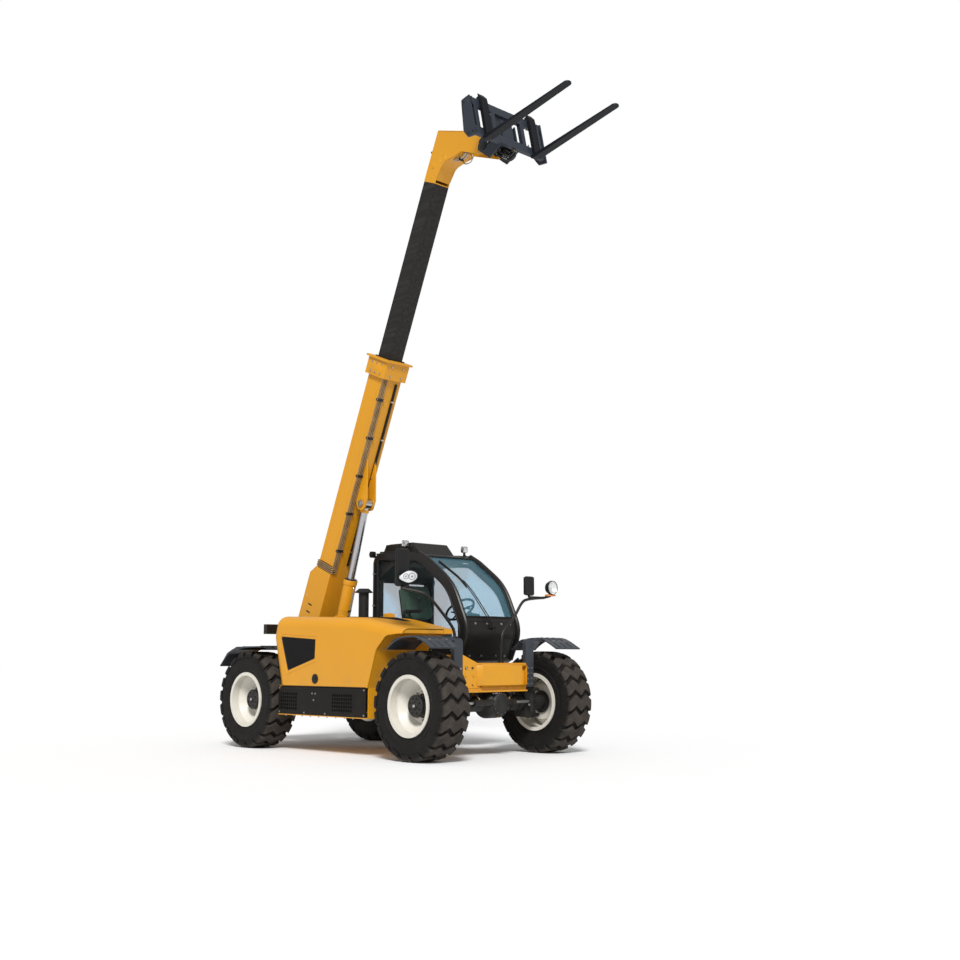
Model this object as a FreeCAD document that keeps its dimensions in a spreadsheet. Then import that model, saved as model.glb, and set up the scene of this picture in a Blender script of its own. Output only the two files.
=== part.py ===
import FreeCAD, Part
import math
import os
import PartDesign
import Sketcher

# A telescopic handler at full size, in millimetres, +Z up and +X forward.
# The origin is on the ground under the middle of the bounding box.
# The boom stands raised and run out, and the front wheels point straight ahead.

SIZES = (
    # alias, value, what it is
    ("RearAxleX", -2030, "rear axle centre, from the origin"),
    ("WheelBase", 3050, "front axle ahead of the rear axle"),
    ("TrackWidth", 1950, "between wheel centres"),
    ("TyreRadius", 587.5, "over the lugs"),
    ("TyreWidth", 410, "sidewall to sidewall"),
    ("BeadRadius", 306, "tyre bead on the rim"),
    ("SidewallStart", 350, "where the sidewall leaves the flange"),
    ("SidewallBulge", 430, "where the sidewall is at full width"),
    ("ShoulderRound", 62, "tread shoulder"),
    ("RimFlangeRadius", 332, "outer lip of the rim"),
    ("RimWall", 14, "rim sheet"),
    ("RimDiscInset", 30, "disc outer face, inboard of the wheel centre"),
    ("RimDishRadius", 190, "flat middle of the rim disc"),
    ("RimDishStart", 90, "where the disc leaves the barrel, outboard of the wheel centre"),
    ("RimHalfWidth", 178, "rim half width at the flanges"),
    ("HubRadius", 118, "planetary hub"),
    ("HubReach", 95, "hub end cap, outboard of the wheel centre"),
    ("HubInner", 60, "hub inner face, inboard of the wheel centre"),
    ("KingpinInset", 255, "steering axis, in from the wheel centre"),
    ("AxleTubeRadius", 88, "axle beam"),
    ("DiffRadius", 165, "differential housing"),
    ("DiffHalf", 120, "half length of the differential housing"),
    ("DiffY", 85, "differential, from the centre line"),
    ("DiffTaper", 70, "differential housing into the beam"),
    ("YokeHeight", 165, "yoke, half height"),
    ("YokePlate", 40, "yoke ear thickness"),
    ("YokeHalf", 85, "yoke, half length along the machine"),
    ("YokeInnerInset", 385, "yoke root, in from the wheel centre"),
    ("YokeOuterInset", 175, "yoke ear tip, in from the wheel centre"),
    ("KnuckleRadius", 68, "knuckle barrel on the kingpin"),
    ("SpindleRadius", 82, "knuckle arm to the hub"),
    ("StubRadius", 50, "spindle end inside the hub"),
    ("StubEnd", 2, "spindle end to the bottom of its bore"),
    ("RunningGap", 0.3, "between parts that turn on each other"),
    ("AxlePadHalf", 70, "pad between axle and chassis, half length"),
    ("BoomY", -100, "boom centre line"),
    ("PivotX", -70, "boom pivot, from the rear axle"),
    ("PivotZ", 1270, "boom pivot height"),
    ("PivotPinRadius", 40, "boom pivot pin"),
    ("BoomAngle", 67.5, "boom above level as it stands"),
    ("PlateGap", 370, "between the chassis plates"),
    ("PlateThick", 30, "chassis plate"),
    ("PlateBottom", 450, "chassis plate lower edge"),
    ("PlateOverAxle", 765, "chassis plate lower edge over the axles"),
    ("PlateTop", 950, "chassis plate upper edge"),
    ("PlateRear", -600, "chassis plate rear end, from the rear axle"),
    ("ArchStart", 230, "level stretch of the plates over each axle"),
    ("ArchSlope", 150, "slope from there to the belly"),
    ("EarRound", 150, "round of the chassis ear at the boom pivot"),
    ("EarHeight", 230, "chassis ear above the pivot"),
    ("EarHalf", 200, "chassis ear, half length"),
    ("FloorPlate", 20, "belly and cross plates"),
    ("NoseFront", 150, "nose plate ahead of the front axle"),
    ("NoseDepth", 340, "length of the nose box"),
    ("NoseHalf", 500, "nose box, half width"),
    ("NoseBottom", 765, "nose box lower edge"),
    ("NoseTop", 1040, "nose box upper edge"),
    ("NosePlate", 16, "nose box sheet"),
    ("NoseRise", 90, "rise of the nose top to its right end"),
    ("NoseWing", 275, "start of that rise, right of the centre line"),
    ("NoseApron", 45, "front plate below the nose box"),
    ("NoseLip", 25, "lip of the front plate"),
    ("NosePadThick", 50, "raised pad on the nose"),
    ("NosePadLow", -230, "raised pad, right edge"),
    ("NosePadInset", 30, "raised pad, from the nose edges"),
    ("LashingRadius", 22, "lashing hole in the nose"),
    ("LashingInset", 55, "lashing hole, from the corner"),
    ("BoomWide", 280, "outer boom section, width"),
    ("BoomTop", 130, "outer boom top above the pivot line"),
    ("BoomUnder", 190, "outer boom underside below the pivot line"),
    ("BoomWall", 12, "outer boom sheet"),
    ("BoomEnd", 3860, "collar end, along the boom"),
    ("FootTop", 225, "boom foot top above the pivot line"),
    ("FootRear", 150, "boom foot behind the pivot"),
    ("FootUnder", 150, "boom foot below the pivot line"),
    ("FootLength", 920, "boom foot, from the pivot"),
    ("FootTaper", 110, "taper from foot to boom"),
    ("BoxStart", 420, "where the boom turns from foot to hollow box"),
    ("CollarLong", 240, "collar at the boom end"),
    ("CollarThick", 38, "collar around the boom"),
    ("CollarLip", 26, "flange at the collar mouth"),
    ("InnerWide", 232, "inner boom, width"),
    ("InnerTop", 72, "inner boom top above the pivot line"),
    ("InnerUnder", 132, "inner boom underside below the pivot line"),
    ("InnerWall", 10, "inner boom sheet"),
    ("InnerStart", 2950, "inner boom rear end, along the boom"),
    ("HeadStart", 6090, "where the head is welded on"),
    ("PadLong", 120, "slide pads"),
    ("PadGap", 0.5, "slide pad running gap"),
    ("HeadCornerU", 6720, "head elbow, along the boom"),
    ("HeadNoseU", 6760, "head nose, along the boom"),
    ("HeadNoseDown", 400, "head nose below the pivot line"),
    ("HeadTop", 62, "head elbow above the pivot line"),
    ("HeadWall", 12, "head sheet"),
    ("HeadBendU", 6335, "inside bend of the head, along the boom"),
    ("HeadBendDown", 180, "inside bend below the pivot line"),
    ("HeadHipU", 6520, "rear edge of the head arm"),
    ("HeadHipDown", 455, "rear edge of the head arm"),
    ("TiltU", 6618, "carriage hinge, along the boom"),
    ("TiltDown", 874, "carriage hinge below the pivot line"),
    ("HeadEarRadius", 88, "round of the head at the carriage hinge"),
    ("TiltPinRadius", 30, "carriage hinge pin"),
    ("LugU", 2030, "lift rod eye, along the boom"),
    ("LugDown", 310, "lift rod eye below the pivot line"),
    ("LugLong", 560, "lift lug along the boom"),
    ("LugThick", 20, "lift lug plate"),
    ("LugHalfGap", 58, "lift lug plates, from the centre line"),
    ("LugRound", 82, "lift lug around the eye"),
    ("LiftBaseX", 310, "lift cylinder base pin, from the rear axle"),
    ("LiftBaseZ", 750, "lift cylinder base pin height"),
    ("LiftPinRadius", 35, "lift cylinder base pin"),
    ("LiftBarrelRadius", 84, "lift barrel"),
    ("LiftBarrelLong", 1386, "lift barrel, from its pin"),
    ("LiftRodRadius", 48, "lift rod"),
    ("LiftRodTail", 300, "rod inside the barrel as it stands"),
    ("LiftEyeRadius", 70, "eyes of the lift cylinder"),
    ("LiftEyeHalf", 50, "eyes, half width"),
    ("TiltBaseU", 6300, "tilt cylinder base, along the boom"),
    ("TiltBaseDown", 20, "tilt cylinder base below the pivot line"),
    ("TiltBarrelRadius", 38, "tilt barrel"),
    ("TiltBarrelLong", 560, "tilt barrel"),
    ("TiltRodRadius", 20, "tilt rod"),
    ("TiltRodTail", 230, "tilt rod inside the barrel as it stands"),
    ("TiltEyeRadius", 36, "tilt cylinder eyes"),
    ("TiltEyeHalf", 26, "tilt cylinder eyes, half width"),
    ("TiltLever", 200, "tilt rod eye above the carriage hinge"),
    ("CarriageLean", 12, "forks above level as they stand"),
    ("CarriageReach", 250, "carriage back ahead of its hinge"),
    ("CarriageWide", 1200, "carriage width"),
    ("CarriageLow", -130, "carriage lower bar, lower edge"),
    ("CarriageHigh", 345, "carriage upper bar, upper edge"),
    ("CarriageBar", 100, "height of the carriage bars"),
    ("CarriageThick", 50, "thickness of the carriage bars"),
    ("EndPlate", 22, "carriage end plates"),
    ("EndPlateDeep", 120, "carriage end plates behind the bars"),
    ("UprightWide", 60, "carriage inner uprights"),
    ("CarriageEar", 25, "carriage hinge ears"),
    ("CarriageEarY", 70, "carriage hinge ears, inner face"),
    ("CarriageEarRound", 55, "round of the hinge ears"),
    ("CheekGap", 6, "outer hinge plates to the head"),
    ("CheekThick", 18, "outer hinge plates"),
    ("CheekLow", -190, "outer hinge plates, lower edge"),
    ("CheekRear", -100, "outer hinge plates, rear tip"),
    ("ForkY", 400, "forks, from the carriage centre"),
    ("ForkWide", 100, "fork width"),
    ("ForkThick", 45, "fork heel thickness"),
    ("ForkTip", 14, "fork tip thickness"),
    ("ForkLong", 1235, "fork blade, from the shank front"),
    ("ForkTop", 430, "fork shank top above the hinge"),
    ("ForkHeel", -168, "fork underside below the hinge"),
    ("ForkNose", 45, "round of the fork tip"),
    ("HoodOuter", 1100, "hood side, from the centre line"),
    ("HoodInner", 460, "hood hinge edge, from the centre line"),
    ("HoodRearLow", 585, "hood rear corner, from the rear axle"),
    ("HoodRearMid", 430, "hood rear face, from the rear axle"),
    ("HoodRearTop", 500, "hood rear top corner, from the rear axle"),
    ("HoodSill", 765, "hood lower edge"),
    ("HoodKnee", 1350, "hood rear face, height of its corner"),
    ("HoodTop", 1600, "hood top"),
    ("HoodFrontFall", 45, "fall of the hood top to the front break"),
    ("HoodBreak", 950, "hood top break, behind the front axle"),
    ("HoodNose", 210, "hood front edge, behind the front axle"),
    ("HoodNoseTop", 1415, "hood front edge, upper"),
    ("HoodNoseLow", 1365, "hood front edge, lower"),
    ("ArchTopX", 450, "arch top corner, behind the front axle"),
    ("ArchMidX", 620, "arch middle corner, behind the front axle"),
    ("ArchMidZ", 1190, "arch middle corner, height"),
    ("ArchLowX", 765, "arch lower end, behind the front axle"),
    ("HoodWall", 20, "hood moulding"),
    ("HoodShoulder", 130, "round of the hood side into its top"),
    ("HoodCorner", 90, "round of the hood rear corner in plan"),
    ("CowlWall", 10, "fixed engine bay sheet"),
    ("CowlGap", 8, "gap between the hood and what it covers"),
    ("SideLow", 425, "engine side panel lower edge"),
    ("SideRear", 610, "engine side panel, from the rear axle"),
    ("SidePanel", 12, "engine side panel sheet"),
    ("GrilleDepth", 6, "grilles"),
    ("VentHole", 30, "vent holes in the side panel"),
    ("VentPitch", 42, "between the vent holes"),
    ("EngineRear", 760, "engine block, from the rear axle"),
    ("EngineLong", 1350, "engine block"),
    ("EngineLow", 560, "engine block lower face"),
    ("EngineTall", 820, "engine block"),
    ("EngineWide", 480, "engine block"),
    ("IntakeX", 1330, "air intake, from the rear axle"),
    ("IntakeY", 388, "air intake, from the centre line"),
    ("IntakeRadius", 62, "air intake pipe"),
    ("IntakeTop", 1880, "air intake cap, lower edge"),
    ("IntakeCap", 108, "air intake cap"),
    ("WeightRear", -790, "counterweight rear face, from the rear axle"),
    ("WeightLow", 560, "counterweight lower face"),
    ("WeightTop", 1060, "counterweight upper face"),
    ("WeightHalf", 560, "counterweight, half width"),
    ("WeightChamfer", 110, "counterweight corners"),
    ("HitchRadius", 20, "tow pin hole"),
    ("HitchJaw", 90, "tow jaw, depth"),
    ("LampBarLong", 75, "tail lamp bar"),
    ("LampBarLow", 1400, "tail lamp bar"),
    ("LampBarTall", 125, "tail lamp bar"),
    ("LampBarHalf", 680, "tail lamp bar, half width"),
    ("TankRear", 720, "hydraulic tank, from the rear axle"),
    ("TankLong", 900, "hydraulic tank"),
    ("TankLow", 480, "hydraulic tank"),
    ("TankOuter", 1050, "hydraulic tank, from the centre line"),
    ("TankGap", 35, "tank top below the cab floor"),
    ("StepLong", 420, "cab steps"),
    ("StepDeep", 180, "cab steps"),
    ("StepLow", 520, "lower step"),
    ("StepRise", 270, "between the steps"),
    ("StepPlate", 20, "step plates"),
    ("FenderInner", 770, "fender inner edge, from the centre line"),
    ("FenderOuter", 1180, "fender outer edge, from the centre line"),
    ("FenderThick", 10, "fender sheet"),
    ("FenderTop", 1335, "front fender top"),
    ("FenderLow", 1195, "front fender ends"),
    ("FenderRearReach", 340, "front fender behind the axle"),
    ("FenderFrontReach", 380, "front fender ahead of the axle"),
    ("RearFenderTop", 1235, "rear fender top"),
    ("RearFenderTip", 1000, "rear fender tip height"),
    ("RearFenderReach", 560, "rear fender behind the axle"),
    ("RearFenderFront", 330, "rear fender ahead of the axle"),
    ("RearFenderStep", 150, "rear fender, length of its steep rear piece"),
    ("PostWide", 50, "fender post, along the machine"),
    ("PostBroad", 130, "fender post, across the machine"),
    ("CabInner", 130, "cab right wall"),
    ("CabOuter", 1050, "cab left wall"),
    ("CabRear", 880, "cab rear wall, from the rear axle"),
    ("CabFloor", 1020, "cab floor underside"),
    ("CabRoof", 2420, "cab roof at the rear"),
    ("CabBrowX", 1760, "front end of the roof, from the rear axle"),
    ("CabBrowZ", 2375, "front end of the roof, height"),
    ("CabBendX", 2330, "windscreen bend, from the rear axle"),
    ("CabBendZ", 1980, "windscreen bend, height"),
    ("CabNoseX", 2600, "cab nose, from the rear axle"),
    ("CabNoseZ", 1420, "cab nose, height"),
    ("CabToeX", 2430, "cab toe, from the rear axle"),
    ("CabToeZ", 1060, "cab toe, height"),
    ("CabWall", 45, "cab wall"),
    ("CabPillar", 85, "cab pillars seen from the side"),
    ("ScreenPost", 60, "windscreen pillars seen from the front"),
    ("ScreenLow", 1580, "windscreen lower edge"),
    ("WindowLow", 1290, "side window lower edge"),
    ("GlassThick", 8, "glass"),
    ("GlassGap", 0.5, "glass to its frame"),
    ("DoorLow", 1100, "door sill"),
    ("DoorGap", 6, "door to its frame"),
    ("DoorBar", 50, "door frame bars"),
    ("HingeRadius", 12, "door hinge barrels"),
    ("RoofTall", 100, "roof guard above the roof"),
    ("RoofInset", 90, "roof guard from the roof edges"),
    ("SeatX", 1180, "seat rear, from the rear axle"),
    ("SeatWide", 480, "seat"),
    ("SeatDeep", 470, "seat"),
    ("SeatTop", 1470, "seat cushion top"),
    ("SeatBack", 2050, "seat back top"),
    ("SeatThick", 120, "seat cushion"),
    ("ConsoleX", 2195, "steering console, from the rear axle"),
    ("ConsoleTall", 560, "steering console above the floor"),
    ("WheelRadius", 190, "steering wheel"),
    ("ArmRadius", 17, "mirror arm tube"),
    ("LampDeep", 50, "roof lamps, depth"),
    ("LampWide", 80, "roof lamps, width and height"),
    ("MirrorWide", 190, "mirror"),
    ("LampRadius", 85, "headlamp"),
    ("PipeRadius", 8, "hydraulic pipes on the boom"),
    ("PipePitch", 23, "between the pipes"),
    ("PipeBend", 11, "pipe bends, to the centre line"),
    ("HoseRadius", 11, "hoses at the carriage"),
)


# A value and the sheet expression it comes from, so that plain sums stay parametric
class Term:
    def __init__(self, value, text):
        self.value = float(value)
        self.text = text

    def __add__(self, other):
        other = term(other)
        return Term(self.value + other.value, f"({self.text} + {other.text})")

    def __sub__(self, other):
        other = term(other)
        return Term(self.value - other.value, f"({self.text} - {other.text})")

    def __mul__(self, other):
        other = term(other)
        return Term(self.value * other.value, f"({self.text} * {other.text})")

    def __truediv__(self, other):
        other = term(other)
        return Term(self.value / other.value, f"({self.text} / {other.text})")

    def __neg__(self):
        return Term(-self.value, f"(0 - {self.text})")

    def __radd__(self, other):
        return term(other) + self

    def __rsub__(self, other):
        return term(other) - self

    def __rmul__(self, other):
        return term(other) * self


def term(value):
    if isinstance(value, Term):
        return value
    number = f"{abs(float(value)):.9g}"
    return Term(value, number if value >= 0 else f"(0 - {number})")


def cosine(angle):
    return Term(math.cos(math.radians(angle.value)), f"cos({angle.text} * 1 deg)")


def sine(angle):
    return Term(math.sin(math.radians(angle.value)), f"sin({angle.text} * 1 deg)")


class Sheet:
    def __init__(self, rows):
        self.cells = doc.addObject("Spreadsheet::Sheet", "Size")
        for number, (alias, value, note) in enumerate(rows, 1):
            self.cells.set(f"A{number}", alias)
            self.cells.set(f"B{number}", str(value))
            self.cells.set(f"C{number}", note)
            self.cells.setAlias(f"B{number}", alias)
            setattr(self, alias, Term(value, f"Size.{alias}"))


doc = FreeCAD.newDocument("Telehandler")
s = Sheet(SIZES)
doc.recompute()
nodes = {}


# Helpers for sketches, solids and places

PLANES = {"XY": ("XY_Plane", 1), "XZ": ("XZ_Plane", -1), "YZ": ("YZ_Plane", 1)}
AXES = {"X": ((0, 1, 0), 90), "Y": ((1, 0, 0), -90), "Z": ((0, 0, 1), 0)}


def flat(point):
    return FreeCAD.Vector(term(point[0]).value, term(point[1]).value, 0)


def bind(piece, name, value):
    piece.setExpression(name, term(value).text)


def place(piece, x=0, y=0, z=0, axis=None, angle=0):
    if axis is not None:
        turn = FreeCAD.Rotation(FreeCAD.Vector(*axis), term(angle).value)
        piece.Placement = FreeCAD.Placement(FreeCAD.Vector(), turn)
        bind(piece, "Placement.Rotation.Angle", angle)
    for name, value in (("x", x), ("y", y), ("z", z)):
        bind(piece, f"Placement.Base.{name}", value)
    return piece


# For each corner the ends of its arc in order, and the arc itself or None for a bare corner
def corner_arcs(corners):
    arcs = []
    for i, corner in enumerate(corners):
        here = flat(corner)
        radius = term(corner[2]).value if len(corner) > 2 else 0
        if radius == 0:
            arcs.append((here, here, None))
            continue
        back = (flat(corners[i - 1]) - here).normalize()
        ahead = (flat(corners[(i + 1) % len(corners)]) - here).normalize()
        half = back.getAngle(ahead) / 2
        cutback = radius / math.tan(half)
        centre = here + (back + ahead).normalize() * (radius / math.sin(half))
        first, last = here + back * cutback, here + ahead * cutback
        start, end = (math.atan2(p.y - centre.y, p.x - centre.x) for p in (first, last))
        if back.cross(ahead).z > 0:
            start, end = end, start
        if end < start:
            end += 2 * math.pi
        circle = Part.Circle(centre, FreeCAD.Vector(0, 0, 1), radius)
        arcs.append((first, last, Part.ArcOfCircle(circle, start, end)))
    return arcs


# A closed outline of straight sides, with an arc at each corner that has a radius
def draw_outline(sketch, corners):
    arcs = corner_arcs(corners)
    count = len(corners)
    sides = [sketch.addGeometry(Part.LineSegment(arcs[i][1], arcs[(i + 1) % count][0]))
             for i in range(count)]
    for i, corner in enumerate(corners):
        before, after = sides[i - 1], sides[i]
        if arcs[i][2] is None:
            sketch.addConstraint(Sketcher.Constraint("Coincident", before, 2, after, 1))
            fixed = after
        else:
            arc = sketch.addGeometry(arcs[i][2])
            near = 1 if arcs[i][2].StartPoint.distanceToPoint(arcs[i][0]) < 1e-6 else 2
            sketch.addConstraint(Sketcher.Constraint("Tangent", before, 2, arc, near))
            sketch.addConstraint(Sketcher.Constraint("Tangent", arc, 3 - near, after, 1))
            dimension(sketch, "Radius", (arc,), corner[2])
            fixed = sketch.addGeometry(Part.Point(flat(corner)), True)
            for side in (before, after):
                sketch.addConstraint(Sketcher.Constraint("PointOnObject", fixed, 1, side))
        dimension(sketch, "DistanceX", (-1, 1, fixed, 1), corner[0])
        dimension(sketch, "DistanceY", (-1, 1, fixed, 1), corner[1])


def dimension(sketch, kind, where, value):
    number = sketch.addConstraint(Sketcher.Constraint(kind, *where, term(value).value))
    sketch.setExpression(f"Constraints[{number}]", term(value).text)


def sketched_body(name, plane, corners, offset=0):
    role, sign = PLANES[plane]
    body = doc.addObject("PartDesign::Body", name)
    sketch = body.newObject("Sketcher::SketchObject", name + "Sketch")
    base = next(f for f in body.Origin.OriginFeatures if f.Role == role)
    sketch.AttachmentSupport = [(base, "")]
    sketch.MapMode = "FlatFace"
    draw_outline(sketch, corners)
    bind(sketch, "AttachmentOffset.Base.z", term(offset) * sign)
    return body, sketch


# A pad of an outline on one of the body's planes, from low to high across it
def prism(name, plane, corners, low, high):
    body, sketch = sketched_body(name, plane, corners, high if plane == "XZ" else low)
    pad = body.newObject("PartDesign::Pad", name + "Pad")
    pad.Profile = sketch
    bind(pad, "Length", term(high) - low)
    return body


# An outline of (along, radius) points turned about the body's Y axis
def turned(name, corners):
    body, sketch = sketched_body(name, "YZ", corners)
    turn = body.newObject("PartDesign::Revolution", name + "Turn")
    turn.Profile = sketch
    turn.ReferenceAxis = (sketch, ["H_Axis"])
    turn.Angle = 360
    return body


def box(name, x, y, z):
    piece = doc.addObject("Part::Box", name)
    for side, (low, high) in (("Length", x), ("Width", y), ("Height", z)):
        bind(piece, side, term(high) - low)
    return place(piece, x[0], y[0], z[0])


# A cylinder along one axis; the centre gives the other two coordinates in order
def cylinder(name, axis, centre, low, high, radius):
    piece = doc.addObject("Part::Cylinder", name)
    bind(piece, "Radius", radius)
    bind(piece, "Height", term(high) - low)
    direction, angle = AXES[axis]
    turn = FreeCAD.Rotation(FreeCAD.Vector(*direction), angle)
    piece.Placement = FreeCAD.Placement(FreeCAD.Vector(), turn)
    spot = list(centre)
    spot.insert("XYZ".index(axis), low)
    return place(piece, *spot)


def joined(name, pieces, kind="Part::MultiFuse"):
    piece = doc.addObject(kind, name)
    piece.Shapes = pieces
    return piece


def shared(name, pieces):
    return joined(name, pieces, "Part::MultiCommon")


def cut(name, base, tools):
    piece = doc.addObject("Part::Cut", name)
    piece.Base = base
    piece.Tool = tools[0] if len(tools) == 1 else joined(name + "Tools", tools)
    return piece


# Loose pieces of one node, which don't touch each other
def group(name, pieces):
    piece = doc.addObject("Part::Compound", name)
    piece.Links = pieces
    return piece


# The outline moved inwards by a distance, each corner along its bisector
def inset(corners, distance):
    moved = []
    for i, corner in enumerate(corners):
        here = flat(corner)
        back = (here - flat(corners[i - 1])).normalize()
        ahead = (flat(corners[(i + 1) % len(corners)]) - here).normalize()
        side = 1 if is_counterclockwise(corners) else -1
        normals = [FreeCAD.Vector(-v.y, v.x, 0) * side for v in (back, ahead)]
        middle = (normals[0] + normals[1]).normalize()
        middle = middle * (1 / middle.dot(normals[0]))
        point = [term(corner[0]) + distance * middle.x, term(corner[1]) + distance * middle.y]
        if len(corner) > 2:
            turn = (back.x * ahead.y - back.y * ahead.x) * side
            radius = term(corner[2]) - distance if turn > 0 else term(corner[2]) + distance
            if radius.value > 1:
                point.append(radius)
        moved.append(tuple(point))
    return moved


def is_counterclockwise(corners):
    points = [flat(corner) for corner in corners]
    area = sum(a.x * b.y - b.x * a.y for a, b in zip(points, points[1:] + points[:1]))
    return area > 0


# A round tube along straight runs joined by tangent arcs
def tube(name, points, radius, bend):
    spots = [FreeCAD.Vector(*[term(value).value for value in point]) for point in points]
    edges, start = [], spots[0]
    for before, here, after in zip(spots, spots[1:], spots[2:]):
        back, ahead = (before - here).normalize(), (after - here).normalize()
        half = back.getAngle(ahead) / 2
        cutback = term(bend).value / math.tan(half)
        middle = (back + ahead).normalize()
        through = here + middle * (term(bend).value * (1 / math.sin(half) - 1))
        first, last = here + back * cutback, here + ahead * cutback
        edges += [Part.LineSegment(start, first).toShape(), Part.Arc(first, through, last).toShape()]
        start = last
    edges.append(Part.LineSegment(start, spots[-1]).toShape())
    path = Part.Wire(edges)
    ring = Part.Wire(Part.Circle(spots[0], spots[1] - spots[0], term(radius).value).toShape())
    sweep = Part.BRepOffsetAPI.MakePipeShell(path)
    sweep.add(ring)
    sweep.build()
    sweep.makeSolid()
    piece = doc.addObject("Part::Feature", name)
    piece.Shape = sweep.shape()
    return piece


def node(label, piece):
    piece.Label = label
    nodes[label] = piece
    return piece


# Places that several pieces share

rear = s.RearAxleX
front = rear + s.WheelBase
axle_z = s.TyreRadius
wheel_y = s.TrackWidth / 2
pivot_x = rear + s.PivotX
boom_cos = cosine(s.BoomAngle)
boom_sin = sine(s.BoomAngle)


# A point given along the boom and above its pivot line
def on_boom(along, above):
    x = pivot_x + along * boom_cos - above * boom_sin
    z = s.PivotZ + along * boom_sin + above * boom_cos
    return x, z


def to_boom(piece):
    return place(piece, pivot_x, s.BoomY, s.PivotZ, (0, -1, 0), s.BoomAngle)


WHEELS = (
    # name, axle position, side
    ("front_left", front, 1),
    ("front_right", front, -1),
    ("rear_left", rear, 1),
    ("rear_right", rear, -1),
)


# Tyres and rims, with the planetary hub as the middle of the rim

def build_wheels():
    half, lip, wall = s.TyreWidth / 2, s.RimHalfWidth, s.RimWall
    seat = s.BeadRadius - s.RunningGap
    inside = seat - wall
    disc = -s.RimDiscInset
    bore = s.StubRadius + s.RunningGap
    bead = lip - s.RunningGap
    tread = [(-bead, s.BeadRadius), (bead, s.BeadRadius), (bead, s.SidewallStart),
             (half, s.SidewallBulge, s.ShoulderRound), (half, s.TyreRadius, s.ShoulderRound),
             (-half, s.TyreRadius, s.ShoulderRound), (-half, s.SidewallBulge, s.ShoulderRound),
             (-bead, s.SidewallStart)]
    rim = [(lip + wall, s.RimFlangeRadius), (lip + wall, inside),
           (s.RimDishStart, inside, s.ShoulderRound / 2), (disc, s.RimDishRadius),
           (disc, s.HubRadius), (s.HubReach, s.HubRadius, wall), (s.HubReach, 0), (0, 0),
           (0, bore), (-s.HubInner, bore), (-s.HubInner, s.HubRadius + wall),
           (disc - wall, s.HubRadius + wall), (disc - wall, s.RimDishRadius + wall),
           (s.RimDishStart - wall * 2, inside), (-lip - wall, inside),
           (-lip - wall, s.RimFlangeRadius), (-lip, s.RimFlangeRadius), (-lip, seat), (lip, seat),
           (lip, s.RimFlangeRadius)]
    for name, x, side in WHEELS:
        outline = [(side * corner[0],) + corner[1:] for corner in rim]
        for label, corners in (("tyre_", tread), ("wheel_", outline)):
            piece = turned(label.title() + name, corners)
            node(label + name, place(piece, x, side * wheel_y, axle_z))


# Axles, steering knuckles and spindles

def build_axles():
    low, high = axle_z - s.YokeHeight, axle_z + s.YokeHeight
    yoke_in, yoke_out = wheel_y - s.YokeInnerInset, wheel_y - s.YokeOuterInset
    kingpin_y = wheel_y - s.KingpinInset
    spindle_end = wheel_y - s.HubInner - s.RunningGap
    for name, x in (("front", front), ("rear", rear)):
        end = yoke_in if name == "front" else spindle_end
        beam, bulge = s.AxleTubeRadius, s.DiffRadius
        left, right = s.DiffY + s.DiffHalf, s.DiffY - s.DiffHalf
        outline = [(-end, 0), (end, 0), (end, beam), (left + s.DiffTaper, beam),
                   (left, bulge, s.DiffTaper), (right, bulge, s.DiffTaper),
                   (right - s.DiffTaper, beam), (-end, beam)]
        pieces = [place(turned(name + "Beam", outline), x, 0, axle_z)]
        for side, inner in PLATES:
            pieces.append(box(f"{name}Pad{side}", (x - s.AxlePadHalf, x + s.AxlePadHalf),
                              (inner, inner + s.PlateThick), (axle_z, s.PlateOverAxle)))
        for side in (1, -1):
            if name == "front":
                ear = s.YokePlate
                yoke = [(yoke_in - ear, low), (yoke_out, low, ear * 0.8), (yoke_out, low + ear),
                        (yoke_in + ear, low + ear), (yoke_in + ear, high - ear),
                        (yoke_out, high - ear), (yoke_out, high, ear * 0.8), (yoke_in - ear, high)]
                yoke = [(side * corner[0],) + corner[1:] for corner in yoke]
                pieces.append(prism(f"Yoke{side}", "YZ", yoke, x - s.YokeHalf, x + s.YokeHalf))
            else:
                ends = sorted_ends(side * spindle_end, side * (wheel_y - s.StubEnd))
                pieces.append(cylinder(f"Stub{side}", "Y", (x, axle_z), *ends, s.StubRadius))
        node(name + "_axle", joined(name.title() + "Axle", pieces))
    for name, side in (("left", 1), ("right", -1)):
        gap = s.YokePlate + s.RunningGap
        barrel = cylinder("Kingpin" + name, "Z", (front, side * kingpin_y), low + gap, high - gap,
                          s.KnuckleRadius)
        arm = cylinder("Arm" + name, "Y", (front, axle_z),
                       *sorted_ends(side * kingpin_y, side * spindle_end), s.SpindleRadius)
        stub = cylinder("Stub" + name, "Y", (front, axle_z),
                        *sorted_ends(side * spindle_end, side * (wheel_y - s.StubEnd)), s.StubRadius)
        node("knuckle_" + name, joined("Knuckle" + name, [barrel, arm, stub]))


def sorted_ends(one, other):
    return (one, other) if term(one).value < term(other).value else (other, one)


# The two chassis plates, each with its inner face across the machine

PLATES = (
    ("Right", s.BoomY - s.PlateGap / 2 - s.PlateThick),
    ("Left", s.BoomY + s.PlateGap / 2),
)


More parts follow.
